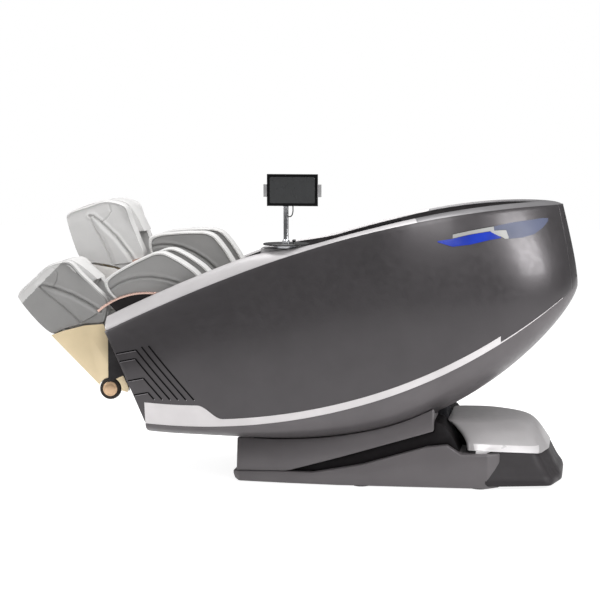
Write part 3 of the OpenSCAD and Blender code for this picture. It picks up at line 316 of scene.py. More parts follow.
SHELL_PAINT = Finish(
    "graphite_shell_paint", "shell_grey", (74, 71, 73), Surface.PAINT, 0.34, 0.55, 0.15
)
BELLY_PAINT = Finish("belly_paint", "shell_grey", (98, 94, 96), Surface.PAINT, 0.42, 0.3, 0.1)
RIM_PAINT = Finish(
    "silver_rim_paint", "rim_silver", (186, 183, 184), Surface.PAINT, 0.40, 0.15, 0.15
)
RIM_DARK_PAINT = Finish(
    "dark_rim_paint", "rim_dark", (116, 114, 116), Surface.PAINT, 0.38, 0.4, 0.2
)
STRIP_PAINT = Finish(
    "pale_strip_paint", "trim_silver", (222, 218, 219), Surface.PAINT, 0.36, 0.1, 0.2
)
LINE_PAINT = Finish("vent_line_black", "line_black", (12, 11, 12), Surface.MOULDED, 0.7, shine=0.08)
# Painted highlight along the lower edge of each vent line.
LINE_HIGHLIGHT = Finish("vent_line_painted_highlight", "shell_grey", (142, 138, 141), Surface.PAINT, 0.4, 0.3)
LAMP_BLUE = Finish(
    "lit_blue_lamp", "lamp_blue", (6, 40, 146), Surface.GLASS, 0.22, 0.0, 0.2, 0.25, 0.3
)
LENS_GLASS = Finish(
    "smoked_lens", "lens_grey", (84, 90, 114), Surface.GLASS, 0.42, 0.0, 0.05, 0.12, shine=0.3
)
BEZEL_PALE = Finish("lamp_bezel", "rim_silver", (158, 158, 156), Surface.PAINT, 0.4, 0.2)
LINER_BLACK = Finish("soft_liner_black", "liner_black", (38, 35, 37), Surface.WOVEN, 0.8)
GLOSS_BLACK = Finish("piano_black", "liner_black", (26, 24, 26), Surface.GLASS, 0.12, 0.0, 0.7)
BASE_GREY = Finish("base_moulding", "base_grey", (100, 96, 98), Surface.MOULDED, 0.4, 0.12, 0.12)
COVER_GREY = Finish(
    "cover_moulding", "cover_grey", (178, 175, 176), Surface.MOULDED, 0.36, 0.15, 0.15
)
TAIL_GREY = Finish("tail_moulding", "base_grey", (50, 47, 49), Surface.MOULDED, 0.5, shine=0.25)
TRIM_SILVER = Finish("chamfer_silver", "trim_silver", (220, 217, 218), Surface.PAINT, 0.3, 0.2, 0.3)
RECESS_BLACK = Finish(
    "recess_dull_black", "recess_black", (20, 17, 19), Surface.MOULDED, 0.6, shine=0.15
)
FOOT_RUBBER = Finish("feet_rubber", "foot_rubber", (28, 28, 28), Surface.RUBBER, 0.85)
FRAME_STEEL = Finish("powder_coated_steel", "steel_dark", (62, 62, 66), Surface.PAINT, 0.5, 0.3)
PLAIN_STEEL = Finish("ground_steel", "plain_steel", (176, 176, 180), Surface.BRUSHED, 0.3, 0.95)
LEATHER_LIGHT = Finish(
    "light_leather", "pad_leather", (204, 203, 202), Surface.LEATHER, 0.44, mottle=0.04
)
# A darker grey leather; on the calf pads' faces and the boots' outer faces it is painted shade
# beside the light leather.
LEATHER_GREY_AND_SHADE = Finish(
    "grey_leather_and_painted_shade", "pad_leather", (142, 141, 140), Surface.LEATHER, 0.48, mottle=0.06
)
LEATHER_SEAT = Finish(
    "seat_leather", "pad_leather", (206, 203, 198), Surface.LEATHER, 0.52, mottle=0.05
)
SOLE_GREY = Finish("sole_grey", "pad_leather", (92, 89, 90), Surface.RUBBER, 0.7)
THREAD = Finish("seam_thread", "pad_leather", (244, 242, 238), Surface.WOVEN, 0.75)
CHAMPAGNE = Finish("champagne_shell", "champagne", (236, 216, 178), Surface.PAINT, 0.38, 0.35, 0.2)
SHELL_PALE = Finish("pale_foot_shell", "champagne", (226, 223, 220), Surface.PAINT, 0.38, 0.15, 0.2)
ROSE_GOLD = Finish("rose_gold_trim", "rose_trim", (228, 192, 178), Surface.BRUSHED, 0.24, 0.8, 0.2)
LEG_BLACK = Finish("leg_plate_black", "leg_black", (30, 27, 28), Surface.MOULDED, 0.45, shine=0.2)
TYRE_RUBBER = Finish("tyre_rubber", "wheel_brown", (44, 36, 30), Surface.RUBBER, 0.75)
HUB_GOLD = Finish("hub_gold", "wheel_brown", (216, 181, 146), Surface.BRUSHED, 0.34, 0.55, 0.1)
ROLLER_IVORY = Finish("roller_cream", "roller_ivory", (216, 212, 200), Surface.MOULDED, 0.45)
CHROME = Finish(
    "polished_chrome", "chrome", (208, 209, 212), Surface.BRUSHED, 0.14, 1.0, mottle=0.02
)
KNOB_BLACK = Finish("knob_gloss_black", "knob_black", (22, 21, 22), Surface.MOULDED, 0.3, 0.0, 0.4)
DISC_BLACK = Finish("disc_black", "knob_black", (30, 29, 31), Surface.PAINT, 0.25, 0.2, 0.4)
CONSOLE_GREY = Finish(
    "console_silver", "rim_silver", (160, 158, 159), Surface.PAINT, 0.36, 0.3, 0.2
)
SCREEN_GLASS = Finish(
    "tablet_glass", "screen_glass", (48, 49, 50), Surface.GLASS, 0.3, 0.0, 0.15, 0.05
)
SCREEN_BEZEL = Finish("screen_bezel", "screen_glass", (7, 7, 8), Surface.MOULDED, 0.5, shine=0.1)
CLAMP_SILVER = Finish("clamp_silver", "rim_silver", (150, 149, 150), Surface.PAINT, 0.36, 0.3, 0.2)
CABLE_BLACK = Finish("cable_black", "knob_black", (24, 24, 25), Surface.RUBBER, 0.6)


# ------------------------------------------------------------------ mesh helpers
def ease(t: np.ndarray | float) -> np.ndarray:
    """A smooth step from 0 to 1."""
    u = np.clip(t, 0.0, 1.0)
    return u * u * (3 - 2 * u)


def mesh_object(
    name: str, verts: np.ndarray, faces: Sequence[Sequence[int]], finish: Finish
) -> bpy.types.Object:
    """Makes a mesh object at the origin.

    Args:
        name: the piece's name.
        verts: points, one row each.
        faces: lists of point numbers.
        finish: the first material.

    Returns:
        The linked object.
    """
    mesh = bpy.data.meshes.new(name)
    mesh.from_pydata([tuple(map(float, v)) for v in verts], [], [tuple(map(int, f)) for f in faces])
    mesh.materials.append(finish.material())
    obj = bpy.data.objects.new(name, mesh)
    bpy.context.scene.collection.objects.link(obj)
    return obj


def heal(obj: bpy.types.Object, gap: float = 1e-6, flat: bool = False) -> None:
    """Merges doubled points and turns the faces outwards.

    Args:
        obj: the piece.
        gap: points closer than this are merged.
        flat: also dissolve the edges inside flat faces.
    """
    work = bmesh.new()
    work.from_mesh(obj.data)
    bmesh.ops.remove_doubles(work, verts=work.verts, dist=gap)
    bmesh.ops.dissolve_degenerate(work, edges=work.edges, dist=gap)
    if flat:
        bmesh.ops.dissolve_limit(
            work, angle_limit=math.radians(0.6), verts=work.verts, edges=work.edges
        )
    bmesh.ops.recalc_face_normals(work, faces=work.faces)
    work.to_mesh(obj.data)
    work.free()


def smooth(obj: bpy.types.Object, crease: float = 35.0) -> None:
    """Shades a piece smooth, except over edges sharper than crease degrees."""
    obj.data.shade_smooth()
    obj.data.set_sharp_from_angle(angle=math.radians(crease))


def bake(obj: bpy.types.Object) -> None:
    """Turns what the modifiers make into the piece's own mesh."""
    graph = bpy.context.evaluated_depsgraph_get()
    made = bpy.data.meshes.new_from_object(obj.evaluated_get(graph))
    obj.modifiers.clear()
    old = obj.data
    obj.data = made
    bpy.data.meshes.remove(old)


def round_edges(
    obj: bpy.types.Object, width: float, segments: int = 2, angle: float = 32.0
) -> None:
    """Rounds the edges sharper than an angle.

    Args:
        obj: the piece.
        width: width of the rounding in metres.
        segments: faces across it.
        angle: smallest turn that counts as an edge, in degrees.
    """
    bevel = obj.modifiers.new("rounding", "BEVEL")
    bevel.width = width
    bevel.segments = segments
    bevel.limit_method = "ANGLE"
    bevel.angle_limit = math.radians(angle)
    bevel.use_clamp_overlap = True
    bake(obj)


def carve(obj: bpy.types.Object, cutter: bpy.types.Object) -> None:
    """Cuts a cutter's volume out of a piece."""
    hollow = obj.modifiers.new("hollow", "BOOLEAN")
    hollow.operation = "DIFFERENCE"
    hollow.object = cutter
    hollow.solver = "EXACT"
    bake(obj)


def discard(obj: bpy.types.Object) -> None:
    """Removes a piece and its mesh."""
    old = obj.data
    bpy.data.objects.remove(obj)
    bpy.data.meshes.remove(old)


def at_y(line: np.ndarray, y: float | np.ndarray) -> np.ndarray:
    """Puts a line of X and Z at one Y, or at one Y per point."""
    return np.column_stack([line[:, 0], np.broadcast_to(y, len(line)), line[:, 1]])


def grid_faces(rows: int, cols: int, start: int = 0, flip: bool = False) -> Quads:
    """Quads of a grid of points.

    Args:
        rows: rows of points.
        cols: points in a row.
        start: number of the first point.
        flip: turn the quads round.

    Returns:
        The quads.
    """
    quads = []
    for i in range(rows - 1):
        for j in range(cols - 1):
            a = start + i * cols + j
            quad = (a, a + cols, a + cols + 1, a + 1)
            quads.append(quad[::-1] if flip else quad)
    return quads


def slab(
    name: str, front: np.ndarray, back: np.ndarray, finish: Finish, edge: float = 0.0
) -> bpy.types.Object:
    """A closed wall between two grids of points.

    Args:
        name: the piece's name.
        front: grid of the face seen first, rows by columns by three.
        back: grid of the face behind it.
        finish: the material.
        edge: rounding of its edges.

    Returns:
        The piece.
    """
    rows, cols = front.shape[:2]
    count = rows * cols
    faces = grid_faces(rows, cols) + grid_faces(rows, cols, count, True)
    ring = (
        [(i, 0) for i in range(rows)]
        + [(rows - 1, j) for j in range(1, cols)]
        + [(i, cols - 1) for i in range(rows - 2, -1, -1)]
        + [(0, j) for j in range(cols - 2, 0, -1)]
    )
    border = [i * cols + j for i, j in ring]
    for a, b in zip(border, border[1:] + border[:1]):
        faces.append((a, b, b + count, a + count))
    verts = np.concatenate([front.reshape(-1, 3), back.reshape(-1, 3)])
    obj = mesh_object(name, verts, faces, finish)
    heal(obj)
    if edge:
        round_edges(obj, edge, 2, 45.0)
    smooth(obj)
    return obj


def loft(
    name: str, rings: np.ndarray, finish: Finish, poles: bool = False, crease: float = 35.0
) -> bpy.types.Object:
    """A closed skin over rings of points.

    Args:
        name: the piece's name.
        rings: rings by points by three.
        finish: the material.
        poles: whether the first and the last ring close in one point each.
        crease: turn above which an edge stays sharp.

    Returns:
        The piece.
    """
    count, sides = rings.shape[:2]
    faces: Quads = []
    for i in range(count - 1):
        for j in range(sides):
            n = (j + 1) % sides
            faces.append((i * sides + j, i * sides + n, (i + 1) * sides + n, (i + 1) * sides + j))
    if not poles:
        faces.append(tuple(range(sides - 1, -1, -1)))
        faces.append(tuple((count - 1) * sides + j for j in range(sides)))
    obj = mesh_object(name, rings.reshape(-1, 3), faces, finish)
    heal(obj)
    smooth(obj, crease)
    return obj


def smooth_loop(outline: Outline, count: int, scale: float = MM) -> np.ndarray:
    """A closed smooth line through an outline's points, with even spacing.

    Args:
        outline: the points.
        count: points of the result.
        scale: factor to metres.

    Returns:
        The line, count by two.
    """
    pts = np.array(outline, float) * scale
    total = len(pts)
    fine = []
    for i in range(total):
        p0, p1, p2, p3 = (pts[(i + k) % total] for k in (-1, 0, 1, 2))
        gaps = [max(1e-9, np.linalg.norm(b - a)) ** 0.5 for a, b in ((p0, p1), (p1, p2), (p2, p3))]
        m1 = (p1 - p0) / gaps[0] - (p2 - p0) / (gaps[0] + gaps[1]) + (p2 - p1) / gaps[1]
        m2 = (p2 - p1) / gaps[1] - (p3 - p1) / (gaps[1] + gaps[2]) + (p3 - p2) / gaps[2]
        m1, m2 = m1 * gaps[1], m2 * gaps[1]
        for t in np.linspace(0, 1, 24, endpoint=False):
            h = (2 * t**3 - 3 * t**2 + 1, t**3 - 2 * t**2 + t, -2 * t**3 + 3 * t**2, t**3 - t**2)
            fine.append(h[0] * p1 + h[1] * m1 + h[2] * p2 + h[3] * m2)
    return spaced(np.array(fine), count, True)


def spaced(line: np.ndarray, count: int, closed: bool) -> np.ndarray:
    """Spaces points evenly along a line.

    Args:
        line: the points of the line.
        count: points of the result.
        closed: whether the line returns to its start.

    Returns:
        The evenly spaced points.
    """
    track = np.vstack([line, line[:1]]) if closed else line
    run = np.concatenate([[0.0], np.cumsum(np.linalg.norm(np.diff(track, axis=0), axis=1))])
    at = np.linspace(0, run[-1], count + 1)[:-1] if closed else np.linspace(0, run[-1], count)
    return np.stack([np.interp(at, run, track[:, k]) for k in range(track.shape[1])], axis=1)


def rounded_polygon(points: Outline, radius: float, count: int, scale: float = MM) -> np.ndarray:
    """A polygon with rounded corners, evenly spaced.

    Args:
        points: the corners.
        radius: the rounding in metres, cut down on short sides.
        count: points of the result.
        scale: factor to metres.

    Returns:
        The rounded outline, count by two, starting in the middle of the last side.
    """
    pts = np.array(points, float) * scale
    total = len(pts)
    line = [(pts[-1] + pts[0]) / 2]
    for i in range(total):
        before, here, after = pts[i - 1], pts[i], pts[(i + 1) % total]
        to_a, to_b = before - here, after - here
        cut = min(radius, 0.46 * np.linalg.norm(to_a), 0.46 * np.linalg.norm(to_b))
        a = here + to_a / np.linalg.norm(to_a) * cut
        b = here + to_b / np.linalg.norm(to_b) * cut
        for t in np.linspace(0, 1, 9):
            line.append((1 - t) ** 2 * a + 2 * t * (1 - t) * here + t**2 * b)
    return spaced(np.array(line), count, True)


def revolve(
    name: str,
    profile: Outline,
    place: Matrix,
    finish: Finish,
    sides: int = 64,
    crease: float = 35.0,
) -> bpy.types.Object:
    """A turned piece about its local Z.

    Args:
        name: the piece's name.
        profile: radius and height pairs in millimetres, closed on the axis at both ends.
        place: where the local frame goes.
        finish: the material.
        sides: faces round it.
        crease: turn above which an edge stays sharp.

    Returns:
        The piece.
    """
    turn = np.linspace(0, 2 * math.pi, sides, endpoint=False)
    rings = (
        np.array([[(r * math.cos(a), r * math.sin(a), z) for a in turn] for r, z in profile]) * MM
    )
    obj = loft(name, rings, finish, poles=profile[0][0] == 0 and profile[-1][0] == 0, crease=crease)
    obj.data.transform(place)
    return obj


def rounded_copy(
    frame: dict, node: str, finish: Finish, width: float, angle: float = 30.0, segments: int = 2
) -> bpy.types.Object:
    """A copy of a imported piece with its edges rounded.

    Args:
        frame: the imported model.
        node: the piece to copy.
        finish: the material.
        width: rounding in metres.
        angle: smallest turn that counts as an edge, in degrees.
        segments: faces across the rounding.

    Returns:
        The piece, named after the node.
    """
    mesh = frame["nodes"][node].data
    verts = np.array([tuple(v.co) for v in mesh.vertices])
    faces = [tuple(p.vertices) for p in mesh.polygons]
    obj = mesh_object(f"{node}_finished", verts, faces, finish)
    heal(obj, 2e-5, True)
    round_edges(obj, width, segments, angle)
    smooth(obj, 30.0)
    return obj


def fit_rounded(
    frame: dict,
    node: str,
    body: str,
    finish: Finish,
    width: float,
    angle: float = 30.0,
    segments: int = 2,
) -> None:
    """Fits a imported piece's copy with rounded edges in its place."""
    fit(rounded_copy(frame, node, finish, width, angle, segments), body, [node])


def join(name: str, parts: Sequence[bpy.types.Object]) -> bpy.types.Object:
    """Joins pieces into one mesh and keeps their materials.

    Args:
        name: the joined piece's name.
        parts: the pieces, which are removed.

    Returns:
        The joined piece.
    """
    work = bmesh.new()
    materials: list[bpy.types.Material] = []
    for part in parts:
        first = len(work.faces)
        work.from_mesh(part.data)
        work.faces.ensure_lookup_table()
        table = []
        for material in part.data.materials:
            if material not in materials:
                materials.append(material)
            table.append(materials.index(material))
        for face in work.faces[first:]:
            face.material_index = table[min(face.material_index, len(table) - 1)]
    mesh = bpy.data.meshes.new(name)
    work.to_mesh(mesh)
    work.free()
    for material in materials:
        mesh.materials.append(material)
    for part in parts:
        discard(part)
    obj = bpy.data.objects.new(name, mesh)
    bpy.context.scene.collection.objects.link(obj)
    return obj


def fit(
    obj: bpy.types.Object,
    body: str,
    replaces: Sequence[str] = (),
) -> bpy.types.Object:
    """Hands a finished piece to its body and reports it.

    Args:
        obj: the piece.
        body: the body that it moves with.
        replaces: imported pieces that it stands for.

    Returns:
        The piece.
    """
    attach(obj, body)
    if replaces:
        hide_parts(*replaces)
    LOG.info("%s: %d faces, rides on %s", obj.name, len(obj.data.polygons), body)
    return obj


def repaint(frame: dict, node: str, finish: Finish) -> None:
    """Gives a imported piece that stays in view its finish."""
    obj = frame["nodes"][node]
    obj.data.materials.clear()
    obj.data.materials.append(finish.material())
    LOG.info("%s: packed piece, finish %s", node, finish.name)


# ------------------------------------------------------------------ geometry node tools
class NodeTool(Tree):
    """A Geometry Nodes tree with named inputs, used once per piece and then baked."""

    def __init__(self, name: str) -> None:
        """Makes an empty tree with a geometry input and output."""
        super().__init__(bpy.data.node_groups.new(name, "GeometryNodeTree"))
        face = self.tree.interface
        face.new_socket(name="Geometry", in_out="INPUT", socket_type="NodeSocketGeometry")
        face.new_socket(name="Geometry", in_out="OUTPUT", socket_type="NodeSocketGeometry")
        self.start = self.tree.nodes.new("NodeGroupInput")
        self.end = self.tree.nodes.new("NodeGroupOutput")

    def number(self, name: str, default: float) -> bpy.types.NodeSocket:
        """Adds a named size and returns its socket inside the tree."""
        item = self.tree.interface.new_socket(
            name=name, in_out="INPUT", socket_type="NodeSocketFloat"
        )
        item.default_value = default
        return self.start.outputs[name]

    def material(self) -> bpy.types.NodeSocket:
        """Adds the material input and returns its socket inside the tree."""
        self.tree.interface.new_socket(
            name="Finish", in_out="INPUT", socket_type="NodeSocketMaterial"
        )
        return self.start.outputs["Finish"]

    def close(self, geometry: bpy.types.NodeSocket, material: bpy.types.NodeSocket) -> None:
        """Ends the tree in Realize Instances and Set Material."""
        real = self.add("GeometryNodeRealizeInstances")
        paint = self.add("GeometryNodeSetMaterial")
        self.wire(
            (geometry, real.inputs["Geometry"]),
            (real.outputs["Geometry"], paint.inputs["Geometry"]),
            (material, paint.inputs["Material"]),
            (paint.outputs["Geometry"], self.end.inputs["Geometry"]),
        )

    def run(
        self,
        name: str,
        verts: np.ndarray,
        edges: Sequence[tuple[int, int]],
        finish: Finish,
        **sizes: float,
    ) -> bpy.types.Object:
        """Runs the tree on points and edges and keeps the result as a plain mesh.

        Args:
            name: the piece's name.
            verts: points of the guide.
            edges: edges of the guide.
            finish: the finish of what the tree makes.
            sizes: values of the named inputs, with _ for a space.

        Returns:
            The piece.
        """
        mesh = bpy.data.meshes.new(name)
        mesh.from_pydata([tuple(map(float, v)) for v in verts], [tuple(e) for e in edges], [])
        obj = bpy.data.objects.new(name, mesh)
        bpy.context.scene.collection.objects.link(obj)
        tool = obj.modifiers.new("tool", "NODES")
        tool.node_group = self.tree
        values: dict[str, object] = {k.replace("_", " "): v for k, v in sizes.items()}
        values["Finish"] = finish.material()
        for item in self.tree.interface.items_tree:
            if item.in_out == "INPUT" and item.name in values:
                tool[item.identifier] = values[item.name]
        bake(obj)
        if not obj.data.materials:
            obj.data.materials.append(finish.material())
        return obj


def chain_edges(lines: Sequence[np.ndarray], closed: bool) -> tuple[np.ndarray, Edges]:
    """Points and edges of several lines together.

    Args:
        lines: the lines' points.
        closed: whether each line returns to its start.

    Returns:
        All points, and the edges between them.
    """
    edges: Edges = []
    start = 0
    for line in lines:
        count = len(line)
        edges += [(start + i, start + i + 1) for i in range(count - 1)]
        if closed:
            edges.append((start + count - 1, start))
        start += count
    return np.concatenate(lines), edges


def stitch_tool() -> NodeTool:
    """Short thread stitches, spaced along lines."""
    tool = NodeTool("stitches")
    pitch = tool.number("Pitch", 0.008)
    length = tool.number("Length", 0.005)
    thickness = tool.number("Thickness", 0.0007)
    finish = tool.material()
    curve = tool.add("GeometryNodeMeshToCurve")
    points = tool.add("GeometryNodeCurveToPoints", mode="LENGTH")
    thread = tool.add("GeometryNodeMeshCylinder", {"Vertices": 6})
    place = tool.add("GeometryNodeInstanceOnPoints")
    tool.wire(
        (tool.start.outputs["Geometry"], curve.inputs["Mesh"]),
        (curve.outputs["Curve"], points.inputs["Curve"]),
        (pitch, points.inputs["Length"]),
        (length, thread.inputs["Depth"]),
        (thickness, thread.inputs["Radius"]),
        (points.outputs["Points"], place.inputs["Points"]),
        (points.outputs["Rotation"], place.inputs["Rotation"]),
        (thread.outputs["Mesh"], place.inputs["Instance"]),
    )
    tool.close(place.outputs["Instances"], finish)
    return tool


def piping_tool() -> NodeTool:
    """A round cord or bead swept along lines."""
    tool = NodeTool("piping")
    radius = tool.number("Radius", 0.003)
    spacing = tool.number("Spacing", 0.006)
    finish = tool.material()
    curve = tool.add("GeometryNodeMeshToCurve")
    even = tool.add("GeometryNodeResampleCurve", mode="LENGTH")
    round_profile = tool.add("GeometryNodeCurvePrimitiveCircle", {"Resolution": 10})
    sweep = tool.add("GeometryNodeCurveToMesh", {"Fill Caps": True})
    shade = tool.add("GeometryNodeSetShadeSmooth")
    tool.wire(
        (tool.start.outputs["Geometry"], curve.inputs["Mesh"]),
        (curve.outputs["Curve"], even.inputs["Curve"]),
        (spacing, even.inputs["Length"]),
        (radius, round_profile.inputs["Radius"]),
        (even.outputs["Curve"], sweep.inputs["Curve"]),
        (round_profile.outputs["Curve"], sweep.inputs["Profile Curve"]),
        (sweep.outputs["Mesh"], shade.inputs["Geometry"]),
    )
    tool.close(shade.outputs["Geometry"], finish)
    return tool


def rib_tool() -> NodeTool:
    """Small ribs standing on the points of a ring, turned outwards from its middle."""
    tool = NodeTool("ribs")
    width = tool.number("Width", 0.002)
    depth = tool.number("Depth", 0.002)
    height = tool.number("Height", 0.008)
    finish = tool.material()
    size = tool.add("ShaderNodeCombineXYZ")
    rib = tool.add("GeometryNodeMeshCube")
    spot = tool.add("GeometryNodeInputPosition")
    turn = tool.add("FunctionNodeAlignRotationToVector", axis="X")
    place = tool.add("GeometryNodeInstanceOnPoints")
    tool.wire(
        (depth, size.inputs["X"]),
        (width, size.inputs["Y"]),
        (height, size.inputs["Z"]),
        (size.outputs["Vector"], rib.inputs["Size"]),
        (tool.start.outputs["Geometry"], place.inputs["Points"]),
        (spot.outputs["Position"], turn.inputs["Vector"]),
        (turn.outputs["Rotation"], place.inputs["Rotation"]),
        (rib.outputs["Mesh"], place.inputs["Instance"]),
    )
    tool.close(place.outputs["Instances"], finish)
    return tool


# ------------------------------------------------------------------ padding
def soft_box(cells: Cells, half: Point, radius: float) -> tuple[np.ndarray, Quads]:
    """A box with rounded edges, as points and quads about its middle.

    Args:
        cells: faces along each side.
        half: half its length, width and thickness.
        radius: rounding of its edges.

    Returns:
        Points and quads.
    """
    verts: list[np.ndarray] = []
    faces: Quads = []
    size = np.array(half)
    for axis in range(3):
        u_axis, v_axis = [k for k in range(3) if k != axis]
        for sign in (-1, 1):
            grid = np.zeros((cells[u_axis] + 1, cells[v_axis] + 1, 3))
            u = np.linspace(-1, 1, cells[u_axis] + 1) * size[u_axis]
            v = np.linspace(-1, 1, cells[v_axis] + 1) * size[v_axis]
            grid[..., u_axis], grid[..., v_axis] = u[:, None], v[None, :]
            grid[..., axis] = sign * size[axis]
            core = np.clip(grid, radius - size, size - radius)
            off = grid - core
            long = np.maximum(np.linalg.norm(off, axis=-1, keepdims=True), 1e-9)
            start = sum(len(part) for part in verts)
            verts.append((core + off / long * radius).reshape(-1, 3))
            flip = (sign > 0) != (axis == 1)
            faces += grid_faces(cells[u_axis] + 1, cells[v_axis] + 1, start, flip)
    return np.concatenate(verts), faces


def swell(obj: bpy.types.Object, voxel: float, pressure: float, cap: float) -> None:
    """Inflates a cover over its filling with a cloth simulation and keeps the shape.

    Args:
        obj: the closed cover.
        voxel: size of the remesh.
        pressure: pressure inside.
        cap: farthest that a point may move, in metres.
    """
    remesh = obj.modifiers.new("even", "REMESH")
    remesh.mode = "VOXEL"
    remesh.voxel_size = voxel
    bake(obj)
    count = len(obj.data.vertices)
    before = np.zeros(count * 3, np.float32)
    obj.data.vertices.foreach_get("co", before)
    cloth = obj.modifiers.new("swell", "CLOTH")
    for name, value in CLOTH.items():
        setattr(cloth.settings, name, value)
    cloth.settings.uniform_pressure_force = pressure
    cloth.settings.effector_weights.gravity = 0
    cloth.collision_settings.use_collision = False
    cloth.point_cache.frame_start = 1
    cloth.point_cache.frame_end = SWELL_FRAMES
    scene = bpy.context.scene
    for frame_number in range(1, SWELL_FRAMES + 1):
        scene.frame_set(frame_number)
    graph = bpy.context.evaluated_depsgraph_get()
    puffed = obj.evaluated_get(graph).to_mesh()
    after = np.zeros(count * 3, np.float32)
    puffed.vertices.foreach_get("co", after)
    obj.evaluated_get(graph).to_mesh_clear()
    obj.modifiers.clear()
    scene.frame_set(1)
    move = (after - before).reshape(-1, 3)
    far = np.maximum(np.linalg.norm(move, axis=1, keepdims=True), 1e-9)
    move *= np.minimum(1.0, cap / far)
    obj.data.vertices.foreach_set("co", (before.reshape(-1, 3) + move).ravel().astype(np.float32))
    obj.data.update()


def stuffed(
    cells: Cells, half: Point, radius: float, voxel: float, cap: float
) -> tuple[np.ndarray, Quads]:
    """A sewn cover, blown up inside a box by a cloth simulation.

    Args:
        cells: faces along each side of the cover before the simulation.
        half: half the box's length, width and thickness.
        radius: rounding of the cover's edges.
        voxel: size of the remesh.
        cap: farthest that a point may move.

    Returns:
        Points and quads, none of them outside the box.
    """
    small = tuple(size - cap * 0.6 for size in half)
    verts, faces = soft_box(cells, small, min(radius, small[2] * 0.98))
    cover = mesh_object("cover", verts, faces, LEATHER_SEAT)
    heal(cover, 1e-5)
    swell(cover, voxel, STUFFING_PRESSURE, cap)
    finer = cover.modifiers.new("finer", "SUBSURF")
    finer.levels = finer.render_levels = 1
    bake(cover)
    points = np.array([tuple(v.co) for v in cover.data.vertices])
    quads = [tuple(p.vertices) for p in cover.data.polygons]
    discard(cover)
    size = np.array(half)
    return np.clip(points, -size, size), quads


def laid_on(obj: bpy.types.Object, points: np.ndarray, way: Point, lift: float) -> np.ndarray:
    """Drops points onto a piece along a direction.

    Args:
        obj: the piece.
        points: points near its face.
        way: direction from the piece towards the outside.
        lift: how far above the face they end.

    Returns:
        The points on the face; one that misses stays where it was.
    """
    out = Vector(way).normalized()
    placed = []
    for point in points:
        start = Vector(point) + out * 0.08
        hit, place, _, _ = obj.ray_cast(start, -out, distance=0.16)
        placed.append(tuple(place + out * lift) if hit else tuple(point))
    return np.array(placed)


def to_line(points: np.ndarray, line: Outline, scale: float = MM) -> np.ndarray:
    """Distance of points from a broken line, both in one plane.

    Args:
        points: the points, two columns in metres.
        line: the line's corners.
        scale: factor to metres of the corners.

    Returns:
        The distances.
    """
    track = np.array(line, float) * scale
    best = np.full(len(points), 1e9)
    for a, b in zip(track[:-1], track[1:]):
        d = b - a
        t = np.clip(((points - a) @ d) / (d @ d), 0, 1)
        best = np.minimum(best, np.linalg.norm(points - (a + t[:, None] * d), axis=1))
    return best


def soft_path(line: Outline, steps: int = 8) -> list[tuple[float, float]]:
    """Rounds a broken line with a curve through its points."""
    pts = np.array(line, float)
    ends = np.vstack([2 * pts[0] - pts[1], pts, 2 * pts[-1] - pts[-2]])
    out = []
    for i in range(1, len(ends) - 2):
        p0, p1, p2, p3 = ends[i - 1 : i + 3]
        for t in np.linspace(0, 1, steps, endpoint=False):
            out.append(
                tuple(
                    0.5
                    * (
                        2 * p1
                        + (p2 - p0) * t
                        + (2 * p0 - 5 * p1 + 4 * p2 - p3) * t**2
                        + (3 * p1 - p0 - 3 * p2 + p3) * t**3
                    )
                )
            )
    out.append(tuple(pts[-1]))
    return out


